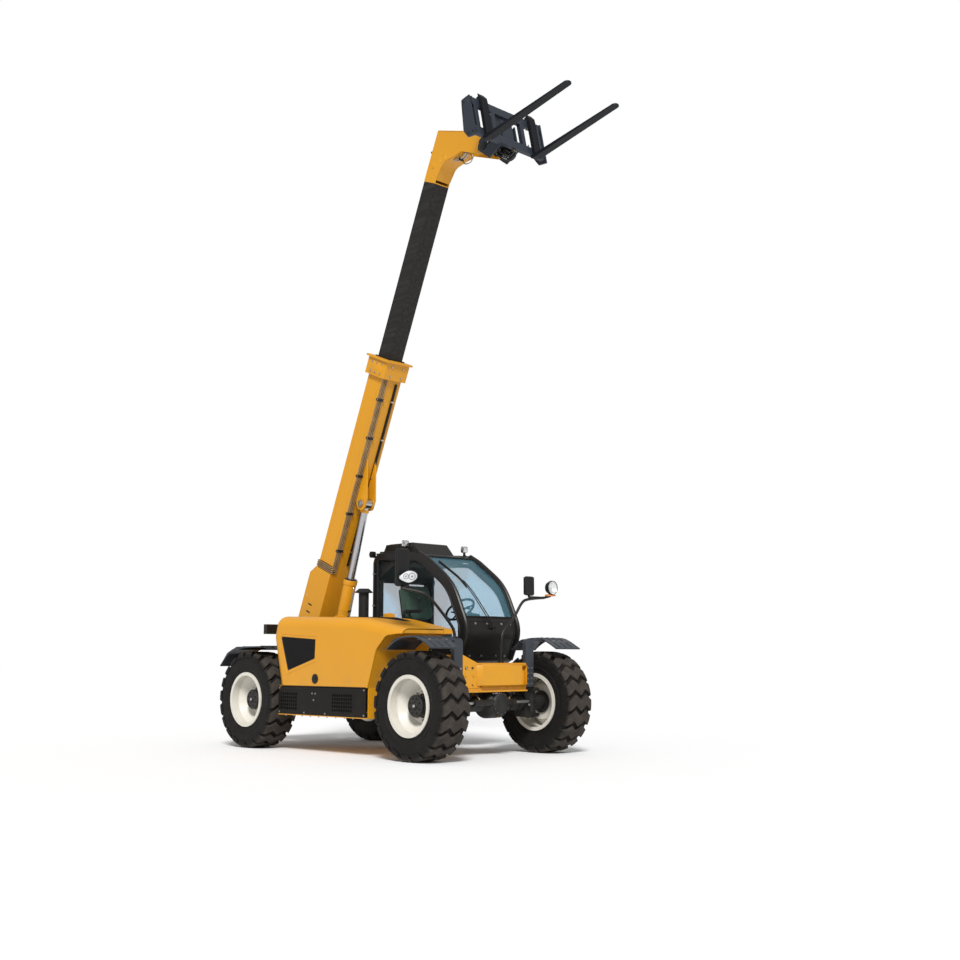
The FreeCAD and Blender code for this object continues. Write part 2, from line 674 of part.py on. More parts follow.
def build_chassis():
    back, ahead = rear + s.PlateRear, front + s.NoseFront - s.NosePlate
    over, under = s.PlateOverAxle, s.PlateBottom
    ear_top = s.PivotZ + s.EarHeight
    side = [(back, over), (rear + s.ArchStart, over), (rear + s.ArchStart + s.ArchSlope, under),
            (front - s.ArchStart - s.ArchSlope, under), (front - s.ArchStart, over), (ahead, over),
            (ahead, s.PlateTop), (pivot_x + s.EarHalf * 2, s.PlateTop, s.EarRound),
            (pivot_x + s.EarHalf, ear_top, s.EarRound), (pivot_x - s.EarHalf, ear_top, s.EarRound / 4),
            (pivot_x - s.EarHalf, s.WeightTop, s.EarRound / 4), (back, s.WeightTop)]
    inner = (s.BoomY - s.PlateGap / 2, s.BoomY + s.PlateGap / 2)
    pieces = [prism("Plate" + name, "XZ", side, y, y + s.PlateThick) for name, y in PLATES]
    pieces.append(box("Belly", (rear + s.ArchStart + s.ArchSlope, front - s.ArchStart - s.ArchSlope),
                      inner, (under, under + s.FloorPlate)))
    pieces.append(box("RearWall", (back, back + s.FloorPlate), inner, (over, s.WeightTop)))
    pieces.append(cylinder("PivotPin", "Y", (pivot_x, s.PivotZ), inner[0] - s.PlateThick,
                           inner[1] + s.PlateThick, s.PivotPinRadius))
    pieces.append(cylinder("LiftPin", "Y", (rear + s.LiftBaseX, s.LiftBaseZ), *inner, s.LiftPinRadius))
    pieces.append(box("CabBracket", (rear + s.CabToeX - s.NoseDepth, rear + s.CabToeX - s.NoseDepth / 2),
                      (inner[1], s.CabInner + s.PlateGap / 2), (s.PlateTop - s.NoseBottom / 4, s.CabFloor)))
    nose_end = front + s.NoseFront
    half, sheet, lowest = s.NoseHalf, s.NosePlate, s.NoseBottom - s.NoseApron
    outline = [(-half, s.NoseBottom), (half, s.NoseBottom), (half, s.NoseTop), (-s.NoseWing, s.NoseTop),
               (-half, s.NoseTop + s.NoseRise)]
    nose = prism("NoseBlock", "YZ", outline, nose_end - s.NoseDepth, nose_end)
    within = [(-half + sheet, s.NoseBottom - sheet), (half - sheet, s.NoseBottom - sheet), (half - sheet, s.NoseTop - sheet),
              (-s.NoseWing, s.NoseTop - sheet), (-half + sheet, s.NoseTop + s.NoseRise - sheet * 1.8)]
    hollow = prism("NoseHollow", "YZ", within, nose_end - s.NoseDepth - sheet, nose_end - sheet)
    apron = box("NoseApron", (nose_end - sheet, nose_end), (-half, half), (lowest, s.NoseBottom))
    lip = box("NoseLip", (nose_end - sheet, nose_end + s.NoseLip), (-half, half), (lowest, lowest + sheet))
    pad = box("NosePad", (nose_end, nose_end + s.NosePadThick), (s.NosePadLow, s.NoseHalf - s.LashingInset * 2),
              (s.NoseBottom + s.NosePadInset, s.NoseTop - s.NosePadInset))
    pieces += [cut("Nose", nose, [hollow]), apron, lip, pad]
    holes = [cylinder(f"Lashing{way}", "X", (way * (s.NoseHalf - s.LashingInset), s.NoseTop - s.LashingInset),
                      nose_end - s.NosePlate * 2, nose_end + s.NosePadThick * 2, s.LashingRadius)
             for way in (1, -1)]
    node("chassis_frame", cut("Chassis", joined("ChassisPlates", pieces), holes))


def build_counterweight():
    back, ahead = rear + s.WeightRear, rear + s.PlateRear
    half, corner = s.WeightHalf, s.WeightChamfer
    plan = [(back, -half + corner), (back + corner, -half), (ahead, -half), (ahead, half),
            (back + corner, half), (back, half - corner)]
    block = prism("WeightBlock", "XY", plan, s.WeightLow, s.WeightTop)
    jaw = box("Jaw", (back - corner, back + s.HitchJaw), (-s.HitchJaw, s.HitchJaw),
              (s.WeightLow + s.HitchJaw, s.WeightLow + s.HitchJaw * 2))
    pin = cylinder("TowPin", "Z", (back + s.HitchJaw / 2, 0), s.WeightLow - s.HitchJaw,
                   s.WeightLow + s.HitchJaw * 3, s.HitchRadius)
    node("counterweight", cut("Counterweight", block, [jaw, pin]))
    bar_x = pivot_x - s.EarHalf - s.LampBarLong
    node("tail_lamp_bar", box("TailLampBar", (bar_x, bar_x + s.LampBarLong),
                              (-s.LampBarHalf, s.LampBarHalf), (s.LampBarLow, s.LampBarLow + s.LampBarTall)))


# The engine bay on the right: block, fixed cowl, opening hood, grilles and side panel

def build_engine_bay():
    top_front = s.HoodTop - s.HoodFrontFall
    arch = [(front - s.HoodNose, s.HoodNoseLow), (front - s.ArchTopX, s.HoodNoseLow - s.CowlWall * 2, s.HoodShoulder),
            (front - s.ArchMidX, s.ArchMidZ, s.HoodShoulder), (front - s.ArchLowX, s.HoodSill)]
    profile = [(rear + s.HoodRearLow, s.HoodSill), (rear + s.HoodRearMid, s.HoodKnee, s.HoodShoulder),
               (rear + s.HoodRearTop, s.HoodTop, s.HoodShoulder), (front - s.HoodBreak, top_front, s.HoodTop),
               (front - s.HoodNose, s.HoodNoseTop)] + arch
    within = inset(profile, s.HoodWall)
    open_front = [(front, within[4][1]), (front, s.SideLow), (within[0][0], s.SideLow)]
    outer = prism("HoodBlock", "XZ", profile, -s.HoodOuter, -s.HoodInner)
    outer = rounded("HoodRound", outer, s.HoodShoulder, -s.HoodOuter)
    hollow = prism("HoodHollow", "XZ", within[1:4] + open_front, -s.HoodOuter + s.HoodWall, -s.HoodInner + s.HoodWall)
    hollow = rounded("HoodInside", hollow, s.HoodShoulder - s.HoodWall, -s.HoodOuter + s.HoodWall)
    quad = [(rear + x, z, s.HoodWall) for x, z in GRILLE_CORNERS]
    window = prism("GrilleHole", "XZ", quad, -s.HoodOuter - s.HoodWall, -s.HoodOuter + s.HoodWall * 2)
    barrels = []
    for number, x in enumerate((rear + s.HoodRearTop + s.HoodBreak / 2, front - s.HoodBreak - s.HoodNose)):
        barrels.append(hinge_barrel(f"HoodBarrel{number}", x, 1))
    hood = joined("HoodParts", [cut("HoodShell", outer, [hollow, window])] + barrels)
    node("hood", hood)
    fitted = inset(quad, s.GlassGap)
    grille = prism("Grille", "XZ", fitted, -s.HoodOuter + s.GrilleDepth, -s.HoodOuter + s.HoodWall)
    cap = cylinder("FuelCap", "Y", (rear + s.IntakeX, s.HoodSill + s.HoodCorner), -s.HoodOuter - s.GrilleDepth,
                   -s.HoodOuter, s.IntakeRadius * 0.9)
    node("hood_grilles", group("HoodGrilles", [grille, cap]))
    plate_face = s.BoomY - s.PlateGap / 2 - s.PlateThick
    block = box("EngineBlock", (rear + s.EngineRear, rear + s.EngineRear + s.EngineLong),
                (plate_face - s.EngineWide, plate_face), (s.EngineLow, s.EngineLow + s.EngineTall))
    node("engine_block", block)
    thin = inset(profile, s.CowlWall)
    band = cut("CowlBand", prism("CowlOuter", "XZ", profile, -s.HoodInner + s.CowlGap, plate_face),
               [prism("CowlInner", "XZ", thin + [(thin[8][0], s.SideLow), (thin[0][0], s.SideLow)],
                      -s.HoodInner, plate_face + s.CowlGap)])
    wall_edge = -s.HoodOuter + s.HoodWall + s.CowlGap
    low_x = front - s.ArchLowX
    sheet_side = arch + [(low_x, s.SideLow), (low_x - s.CowlWall * 2, s.SideLow),
                         (low_x - s.CowlWall * 2, s.HoodSill)] + list(reversed(thin[5:8]))
    clear = s.HoodWall + s.CowlGap
    limit = prism("CowlLimit", "XZ", inset(profile, clear)[1:4] + [(front, within[4][1] - s.CowlGap)] + open_front[1:],
                  wall_edge, plate_face + s.CowlGap)
    limit = rounded("CowlRound", limit, s.HoodShoulder - clear, wall_edge)
    bulkhead = shared("Bulkhead", [prism("BulkheadStrip", "XZ", sheet_side, wall_edge, plate_face), limit])
    floor = box("CowlFloor", (rear + s.SideRear, low_x), (-s.HoodOuter, plate_face),
                (s.SideLow, s.SideLow + s.CowlWall))
    back = box("CowlBack", (rear + s.SideRear, rear + s.SideRear + s.CowlWall),
               (-s.HoodOuter + s.SidePanel, plate_face), (s.SideLow, s.HoodSill + s.CowlWall))
    mounts = [hinge_barrel(f"CowlBarrel{number}", x, -1) for number, x in
              enumerate((rear + s.HoodRearTop + s.HoodBreak / 2, front - s.HoodBreak - s.HoodNose))]
    socket = cylinder("IntakeHole", "Z", (rear + s.IntakeX, -s.IntakeY), s.HoodKnee, s.IntakeTop,
                      s.IntakeRadius + s.RunningGap)
    cowl = joined("CowlParts", [band, bulkhead, floor, back] + mounts)
    node("engine_cowl", cut("Cowl", cowl, [socket]))
    panel = box("SidePanel", (rear + s.SideRear, low_x - s.CowlWall * 2),
                (-s.HoodOuter, -s.HoodOuter + s.SidePanel), (s.SideLow + s.CowlWall, s.HoodSill - s.CowlGap))
    vents = []
    for start, columns in VENT_GROUPS:
        for column in range(columns):
            for row in range(5):
                x = rear + term(start) + s.VentPitch * column
                z = s.SideLow + s.VentPitch * (row + 1.5)
                vents.append(box(f"Vent{start}R{row}C{column}", (x, x + s.VentHole),
                                 (-s.HoodOuter - s.SidePanel, -s.HoodOuter + s.SidePanel * 2), (z, z + s.VentHole)))
    node("engine_side_panel", cut("VentedPanel", panel, vents))
    pipe = cylinder("IntakePipe", "Z", (rear + s.IntakeX, -s.IntakeY), s.HoodKnee + s.HoodShoulder,
                    s.IntakeTop + s.CowlWall, s.IntakeRadius)
    brim = cylinder("IntakeBrim", "Z", (rear + s.IntakeX, -s.IntakeY), s.IntakeTop,
                    s.IntakeTop + s.CowlWall, s.IntakeCap)
    dome = doc.addObject("Part::Cone", "IntakeDome")
    for name, value in (("Radius1", s.IntakeCap), ("Radius2", s.IntakeRadius), ("Height", s.CowlWall * 4)):
        bind(dome, name, value)
    place(dome, rear + s.IntakeX, -s.IntakeY, s.IntakeTop + s.CowlWall)
    node("air_intake", joined("AirIntake", [pipe, brim, dome]))
    return profile


VENT_GROUPS = (
    # first column from the rear axle, columns
    (655, 8),
    (1655, 9),
)


GRILLE_CORNERS = (
    # x from the rear axle, z
    (640, 1350),
    (1320, 1310),
    (1310, 1090),
    (790, 950),
)


# Round the edges that the top of a block has on its outer side
def rounded(name, base, radius, side):
    doc.recompute()
    piece = doc.addObject("Part::Fillet", name)
    piece.Base = base
    wanted = []
    for number, edge in enumerate(base.Shape.Edges, 1):
        span = edge.BoundBox
        outside = abs(span.YMin - side.value) < 0.1 and abs(span.YMax - side.value) < 0.1
        if outside and span.ZMin > s.HoodNoseLow.value + 5 and span.ZMax > s.HoodNoseTop.value:
            wanted.append((number, term(radius).value, term(radius).value))
    piece.Edges = wanted
    return piece


# Half of a hood hinge: the lid's half lies ahead of x, the fixed half behind it
def hinge_barrel(name, x, way):
    radius, long = s.CowlWall, s.HoodCorner / 2
    near = x + s.RunningGap * way
    ends = sorted_ends(near, x + long * way)
    y = -s.HoodInner + s.CowlGap / 2
    roll = cylinder(name + "Roll", "X", (y, s.HoodTop + radius), *ends, radius)
    reach = sorted_ends(y, y - way * s.HoodCorner)
    leaf = box(name + "Leaf", ends, reach, (s.HoodTop - s.HoodFrontFall - radius, s.HoodTop + radius))
    return joined(name, [roll, leaf])


def build_left_side():
    plate_face = s.BoomY + s.PlateGap / 2 + s.PlateThick
    back = rear + s.TankRear
    top = s.CabFloor - s.TankGap
    corner = s.TankGap
    section = [(plate_face, s.TankLow), (s.TankOuter, s.TankLow, corner), (s.TankOuter, top, corner),
               (plate_face, top)]
    tank = prism("TankBody", "YZ", section, back, back + s.TankLong)
    feet = [box(f"TankFoot{number}", (x, x + s.StepDeep), (y, y + s.StepDeep), (top, s.CabFloor))
            for number, (x, y) in enumerate(((rear + s.CabRear, s.CabInner + corner),
                                             (rear + s.CabRear, s.CabOuter - s.StepDeep - corner)))]
    node("hydraulic_tank", joined("HydraulicTank", [tank] + feet))
    start = back + s.TankLong
    y = (s.TankOuter - s.StepDeep, s.TankOuter)
    pieces = [box("StepCheek", (start, start + s.StepPlate), y, (s.StepLow, top))]
    pieces.append(box("StepCheekFront", (start + s.StepLong - s.StepPlate, start + s.StepLong), y,
                      (s.StepLow, s.CabFloor)))
    for number in (0, 1):
        low = s.StepLow + s.StepRise * number
        pieces.append(box(f"Step{number}", (start, start + s.StepLong), y, (low, low + s.StepPlate)))
    node("cab_steps", joined("CabSteps", pieces))


# A sheet of one thickness below an open line of corners
def sheet_outline(points, thickness):
    closed = [(points[0][0], points[0][1] - thickness)] + list(points) + [(points[-1][0], points[-1][1] - thickness)]
    lower = []
    for i, point in enumerate(points[1:-1], 1):
        back = (flat(point) - flat(points[i - 1])).normalize()
        ahead = (flat(points[i + 1]) - flat(point)).normalize()
        normal = FreeCAD.Vector(back.y, -back.x, 0) + FreeCAD.Vector(ahead.y, -ahead.x, 0)
        normal = normal.normalize()
        scale = 1 / normal.dot(FreeCAD.Vector(back.y, -back.x, 0))
        turn = back.x * ahead.y - back.y * ahead.x
        corner = [term(point[0]) + thickness * (normal.x * scale), term(point[1]) + thickness * (normal.y * scale)]
        if len(point) > 2:
            corner.append(term(point[2]) - thickness if turn < 0 else term(point[2]) + thickness)
        lower.append(tuple(corner))
    return closed + list(reversed(lower))


def build_fenders():
    low, top = s.FenderLow, s.FenderTop
    reach, ahead = s.FenderRearReach, s.FenderFrontReach
    line = [(front - reach, low), (front - reach * 0.6, top - s.PostWide * 0.5, s.EarRound),
            (front + s.PostWide * 2, top, s.EarRound), (front + ahead * 0.62, top - s.PostWide * 0.9, s.EarRound),
            (front + ahead, low + s.FenderThick)]
    outline = sheet_outline(line, s.FenderThick)
    sides = []
    for name, way in (("Left", 1), ("Right", -1)):
        across = sorted_ends(way * s.FenderInner, way * s.FenderOuter)
        sheet = prism("FrontFender" + name, "XZ", outline, *across)
        post_x = (front + s.NoseFront - s.PostWide, front + s.NoseFront)
        near, far = way * s.NoseHalf, way * (s.NoseHalf + s.PostBroad)
        post = prism("FenderPost" + name, "YZ",
                     [(near, s.NoseBottom), (far, s.NoseBottom, s.PostWide), (far, top - s.PostWide / 2),
                      (near, top - s.PostWide / 2, s.PostWide)], *post_x)
        arm = box("FenderArm" + name, post_x, sorted_ends(far, way * (s.FenderOuter - s.PostWide)),
                  (top - s.PostWide, top - s.FenderThick))
        sides.append(joined("FrontFenderSide" + name, [sheet, post, arm]))
    node("front_fenders", group("FrontFenders", sides))
    back = rear - s.RearFenderReach
    line = [(back, s.RearFenderTip), (back + s.RearFenderStep, s.RearFenderTop - s.FenderInner * 0.1, s.HoodCorner),
            (back + s.RearFenderStep * 2.4, s.RearFenderTop, s.EarRound), (rear + s.RearFenderFront, s.RearFenderTop)]
    outline = sheet_outline(line, s.FenderThick)
    sides = []
    for name, way, face in (("Left", 1, s.BoomY + s.PlateGap / 2 + s.PlateThick),
                            ("Right", -1, s.BoomY - s.PlateGap / 2 - s.PlateThick)):
        sheet = prism("RearFender" + name, "XZ", outline, *sorted_ends(way * s.FenderInner, way * s.FenderOuter))
        arm = box("RearFenderArm" + name, (pivot_x - s.EarHalf + s.PostWide, pivot_x - s.EarHalf + s.PostWide * 2),
                  sorted_ends(face, way * (s.FenderOuter - s.PostWide)),
                  (s.RearFenderTop - s.FenderThick * 4, s.RearFenderTop - s.FenderThick / 2))
        sides.append(joined("RearFenderSide" + name, [sheet, arm]))
    node("rear_fenders", group("RearFenders", sides))


# The cab: a hollow frame with its windows cut, glass, door, roof guard, seat and controls

def cab_profile():
    return [(rear + s.CabRear, s.CabFloor), (rear + s.CabRear, s.CabRoof, s.HoodShoulder),
            (rear + s.CabBrowX, s.CabBrowZ, s.CabBrowX / 4), (rear + s.CabBendX, s.CabBendZ, s.CabBrowX / 2.5),
            (rear + s.CabNoseX, s.CabNoseZ, s.CabBrowX / 6), (rear + s.CabToeX, s.CabToeZ, s.CabWall),
            (rear + s.CabToeX - s.CabPillar, s.CabFloor)]


# The side opening: the cab outline moved in by the pillar width, cut off at a height
def side_opening(margin, low):
    edge = inset(cab_profile(), margin)
    nose, toe = edge[4], edge[5]
    share = (nose[1] - low) / (nose[1] - toe[1])
    return [(edge[0][0], low)] + edge[1:5] + [(nose[0] + (toe[0] - nose[0]) * share, low)]


def build_cab():
    profile = cab_profile()
    wall = s.CabWall
    shell = prism("CabBlock", "XZ", profile, s.CabInner, s.CabOuter)
    room = prism("CabRoom", "XZ", inset(profile, wall), s.CabInner + wall, s.CabOuter - wall)
    window = side_opening(s.CabPillar, s.WindowLow)
    doorway = side_opening(s.CabPillar, s.DoorLow)
    screen_y = (s.CabInner + s.ScreenPost, s.CabOuter - s.ScreenPost)
    screen_x = (rear + s.CabBrowX + wall, front)
    rear_z = (s.ScreenLow, s.CabRoof - s.CabPillar * 2)
    holes = [room, prism("RightHole", "XZ", window, s.CabInner - wall, s.CabInner + wall * 1.5),
             prism("Doorway", "XZ", doorway, s.CabOuter - wall * 1.5, s.CabOuter + wall),
             box("ScreenHole", screen_x, screen_y, (s.ScreenLow, s.CabRoof)),
             box("RearHole", (rear + s.CabRear - wall, rear + s.CabRear + wall * 1.5), screen_y, rear_z)]
    hinge_x, hinge_y = rear + s.CabRear + s.CabPillar / 2, s.CabOuter + s.HingeRadius + s.RunningGap
    lugs, barrels = [], []
    for number, z in enumerate((s.WindowLow, s.CabRoof - s.PlateGap)):
        low, high = z - s.PostWide, z + s.PostWide
        lugs.append(cylinder(f"HingeLug{number}", "Z", (hinge_x, hinge_y), low, z, s.HingeRadius))
        lugs.append(box(f"HingeRoot{number}", (hinge_x - s.HingeRadius, hinge_x + s.HingeRadius),
                        (s.CabOuter - wall / 4, hinge_y), (low, z)))
        turning = (z + s.RunningGap, high)
        barrels.append(cylinder(f"HingeBarrel{number}", "Z", (hinge_x, hinge_y), *turning, s.HingeRadius))
        barrels.append(box(f"HingeStrap{number}", (hinge_x, hinge_x + s.CabPillar),
                           (s.CabOuter + s.RunningGap, hinge_y + s.HingeRadius), turning))
        barrels.append(box(f"HingeFoot{number}", (hinge_x + s.CabPillar * 0.7, hinge_x + s.CabPillar),
                           (s.CabOuter - wall / 2, hinge_y), turning))
    node("cab_frame", joined("CabFrame", [cut("CabShell", shell, holes)] + lugs))
    gap, pane = s.GlassGap, s.GlassThick
    face = prism("ScreenFace", "XZ", inset(profile, pane), screen_y[0] + gap, screen_y[1] - gap)
    behind = prism("ScreenBack", "XZ", inset(profile, pane * 2), s.CabInner, s.CabOuter)
    limits = box("ScreenLimits", (screen_x[0] + gap, front), (screen_y[0] + gap, screen_y[1] - gap),
                 (s.ScreenLow + gap, s.CabRoof))
    node("windscreen", shared("Windscreen", [cut("ScreenSheet", face, [behind]), limits]))
    side_glass = prism("RightGlass", "XZ", inset(window, gap), s.CabInner + pane, s.CabInner + pane * 2)
    rear_glass = box("RearGlass", (rear + s.CabRear + pane, rear + s.CabRear + pane * 2),
                     (screen_y[0] + gap, screen_y[1] - gap), (rear_z[0] + gap, rear_z[1] - gap))
    node("cab_windows", group("CabWindows", [side_glass, rear_glass]))
    leaf = inset(doorway, s.DoorGap)
    opening = inset(side_opening(s.CabPillar + s.DoorGap + s.DoorBar, s.WindowLow), 0)
    frame = cut("DoorLeaf", prism("DoorBlock", "XZ", leaf, s.CabOuter - wall * 0.8, s.CabOuter),
                [prism("DoorHole", "XZ", opening, s.CabOuter - wall * 2, s.CabOuter + wall)])
    node("cab_door", joined("CabDoor", [frame] + barrels))
    node("cab_door_glass", prism("DoorGlass", "XZ", inset(opening, gap), s.CabOuter - pane * 2, s.CabOuter - pane))
    guard = [(rear + s.CabRear + s.RoofInset / 3, s.CabRoof - s.RoofTall),
             (rear + s.CabRear + s.RoofInset * 1.6, s.CabRoof + s.RoofTall),
             (rear + s.CabBrowX - s.RoofInset * 2.5, s.CabRoof + s.RoofTall), (rear + s.CabBrowX, s.CabBrowZ - s.RoofTall)]
    raised = prism("GuardBlock", "XZ", guard, s.CabInner + s.RoofInset, s.CabOuter - s.RoofInset * 2.8)
    under = prism("GuardUnder", "XZ", profile, s.CabInner, s.CabOuter)
    node("cab_roof_guard", cut("RoofGuard", raised, [under]))
    build_cab_inside()


def build_cab_inside():
    middle = (s.CabInner + s.CabOuter) / 2
    floor = s.CabFloor + s.CabWall
    back, half = rear + s.SeatX, s.SeatWide / 2
    side = [(back, floor), (back + s.SeatDeep * 0.8, floor), (back + s.SeatDeep * 0.8, s.SeatTop - s.SeatThick),
            (back + s.SeatDeep, s.SeatTop - s.SeatThick, s.SeatThick / 4),
            (back + s.SeatDeep, s.SeatTop, s.SeatThick / 3), (back + s.SeatThick, s.SeatTop, s.SeatThick / 4),
            (back, s.SeatBack, s.SeatThick / 3), (back - s.SeatThick, s.SeatBack, s.SeatThick / 3)]
    node("seat", prism("Seat", "XZ", side, middle - half, middle + half))
    foot = rear + s.ConsoleX
    top = floor + s.ConsoleTall
    console = [(foot - s.SeatThick, floor), (foot + s.SeatThick, floor),
               (foot + s.SeatThick / 2, top, s.CabWall), (foot - s.SeatThick, top - s.CabWall, s.CabWall)]
    block = prism("Console", "XZ", console, middle - half / 2, middle + half / 2)
    ring = [(-s.ArmRadius, s.WheelRadius - s.ArmRadius), (s.ArmRadius, s.WheelRadius - s.ArmRadius),
            (s.ArmRadius, s.WheelRadius + s.ArmRadius), (-s.ArmRadius, s.WheelRadius + s.ArmRadius)]
    rim = [(a, r, s.ArmRadius / 2) for a, r in ring]
    wheel_x, wheel_z = foot - s.SeatThick * 1.6, top + s.SeatThick * 0.5
    wheel = turned("SteeringRim", rim)
    spoke = box("SteeringSpoke", (-s.WheelRadius, s.WheelRadius), (-s.ArmRadius / 2, s.ArmRadius / 2),
                (-s.ArmRadius, s.ArmRadius))
    hub = cylinder("SteeringHub", "Y", (0, 0), -s.ConsoleTall / 2, s.ArmRadius, s.ArmRadius * 2)
    steering = joined("Steering", [wheel, spoke, hub])
    turn = FreeCAD.Rotation(FreeCAD.Vector(0, 0, 1), STEERING_YAW)
    lean = FreeCAD.Rotation(FreeCAD.Vector(0, 1, 0), STEERING_LEAN)
    steering.Placement = FreeCAD.Placement(FreeCAD.Vector(), lean.multiply(turn))
    place(steering, wheel_x, middle, wheel_z)
    node("cab_controls", joined("CabControls", [block, steering]))


# The steering wheel's axis is turned back to the driver, then leaned up
STEERING_YAW = 90
STEERING_LEAN = 50


MIRROR_SIDES = (
    # name, side, tube corners (x from the rear axle, y out, z), mirror (x, y, height), lamp (x, y)
    ("Left", 1, ((2950, 345, 1040), (2950, 345, 1370), (2950, 571, 1564), (2950, 725, 1790),
                 (2950, 1087, 1814)), (2925, 825, 230), (2985, 1130)),
    ("Right", -1, ((3175, 600, 1310), (3175, 600, 1410), (3100, 950, 1800), (2900, 1130, 1850)),
     (2860, 1120, 415), (2930, 1090)),
)


ROOF_LAMPS = (
    # lamp (x from the rear axle, y, underside), its bracket (x from, x to, z from, z to)
    ((1420, 135, 2470), (1435, 1455, 2350, 2480)),
    ((1620, 960, 2430), (1635, 1655, 2340, 2440)),
    ((760, 150, 2370), (800, 1050, 2395, 2432)),
    ((760, 940, 2370), (800, 1050, 2395, 2432)),
)


def build_mirrors():
    sides = []
    for name, way, corners, mirror, lamp in MIRROR_SIDES:
        points = [(rear + x, way * y, z) for x, y, z in corners]
        end = points[-1]
        arm = tube("MirrorArm" + name, points, s.ArmRadius, s.ArmRadius * 3)
        low = end[2] + s.ArmRadius
        x, y = rear + mirror[0], way * mirror[1]
        glass = box("MirrorGlass" + name, (x, x + s.PostWide), (y - s.MirrorWide / 2, y + s.MirrorWide / 2),
                    (low, low + mirror[2]))
        clamp = box("MirrorClamp" + name, (x, rear + lamp[0] + s.ArmRadius),
                    sorted_ends(y, end[1]), (end[2] - s.ArmRadius, low))
        bracket = box("LampBracket" + name, (rear + lamp[0], rear + lamp[0] + s.ArmRadius * 2),
                      sorted_ends(end[1] - way * s.ArmRadius, way * lamp[1]),
                      (end[2] - s.ArmRadius, low + s.ArmRadius * 2))
        lens = cylinder("HeadLamp" + name, "X", (way * lamp[1], low + s.ArmRadius + s.LampRadius), rear + lamp[0],
                        rear + lamp[0] + s.LampRadius, s.LampRadius)
        sides.append(joined("MirrorSide" + name, [arm, glass, clamp, bracket, lens]))
    node("mirrors", group("Mirrors", sides))
    roof = prism("LampRoof", "XZ", cab_profile(), s.CabInner, s.CabOuter)
    lamps = []
    for number, ((x, y, z), (first, last, low, high)) in enumerate(ROOF_LAMPS):
        head = box(f"WorkLamp{number}", (rear + x, rear + x + s.LampDeep), (y, y + s.LampWide),
                   (z, z + s.LampWide))
        bracket = box(f"LampFoot{number}", (rear + first, rear + last), (y + s.LampWide * 0.3, y + s.LampWide * 0.7),
                      (low, high))
        lamps.append(cut(f"RoofLamp{number}", joined(f"LampParts{number}", [head, bracket]), [roof]))
    node("work_lamps", group("WorkLamps", lamps))


# The boom: outer section, pipes, inner section and head

def build_boom():
    half, top, under = s.BoomWide / 2, s.BoomTop, -s.BoomUnder
    end, wall = s.BoomEnd, s.BoomWall
    foot = [(-s.FootRear, -s.FootUnder, s.FootRear * 0.9), (-s.FootRear, s.FootUnder, s.FootRear * 0.9),
            (s.FootRear, s.FootTop), (s.FootLength, s.FootTop), (s.FootLength + s.FootTaper, top)]
    long_side = foot + [(end, top), (end, under), (s.BoxStart, under)]
    beam = prism("BoomBeam", "XZ", long_side, -half, half)
    flank = half + wall * 2
    cheek = prism("BoomFoot", "XZ", foot + [(s.FootLength + s.FootTaper, under), (s.BoxStart, under)], -flank, flank)
    boss = cylinder("PivotBoss", "Y", (0, 0), -s.PlateGap / 2 + s.PadGap, s.PlateGap / 2 - s.PadGap,
                    s.FootUnder * 0.75)
    thick, lip = s.CollarThick, s.CollarLip
    collar = box("Collar", (end - s.CollarLong, end), (-half - thick, half + thick), (under - thick, top + thick))
    flange = box("CollarFlange", (end - lip, end), (-half - thick - lip, half + thick + lip),
                 (under - thick - lip, top + thick + lip))
    tunnel = box("BoomTunnel", (s.BoxStart, end + lip), (-half + wall, half - wall), (under + wall, top - wall))
    lug = [(s.LugU + s.LugLong, under), (s.LugU + s.LugRound, -s.LugDown - s.LugRound, s.LugRound * 0.8),
           (s.LugU - s.LugRound, -s.LugDown - s.LugRound, s.LugRound * 0.8),
           (s.LugU - s.LugRound, -s.LugDown + s.LugRound / 2), (s.LugU, under)]
    parts = [beam, cheek, boss, collar, flange]
    for way in (1, -1):
        near, far = s.LugHalfGap, s.LugHalfGap + s.LugThick
        parts.append(prism(f"Lug{way}", "XZ", lug, *sorted_ends(way * near, way * far)))
        parts.append(cylinder(f"LugPin{way}", "Y", (s.LugU, -s.LugDown), *sorted_ends(way * near, way * (far + wall)),
                              s.LiftPinRadius))
    pads = slide_pads("Mouth", (end - s.PadLong, end), s.PadGap, 0)
    bore = cylinder("PivotBore", "Y", (0, 0), -s.PlateGap, s.PlateGap, s.PivotPinRadius + s.RunningGap)
    outer = joined("BoomSection", [cut("BoomHollow", joined("BoomSolid", parts), [tunnel, bore])] + pads)
    node("boom_outer", to_boom(outer))
    side, low = -s.InnerUnder, s.InnerTop
    inner_half, inner_wall = s.InnerWide / 2, s.InnerWall
    tubing = box("InnerTube", (s.InnerStart, s.HeadStart), (-inner_half, inner_half), (side, low))
    core = box("InnerCore", (s.InnerStart - wall, s.HeadStart + wall), (-inner_half + inner_wall, inner_half - inner_wall),
               (side + inner_wall, low - inner_wall))
    pads = slide_pads("Tail", (s.InnerStart, s.InnerStart + s.PadLong), 0, s.PadGap)
    node("boom_inner", to_boom(joined("InnerBoom", [cut("InnerHollow", tubing, [core])] + pads)))
    build_pipes()
    build_head()


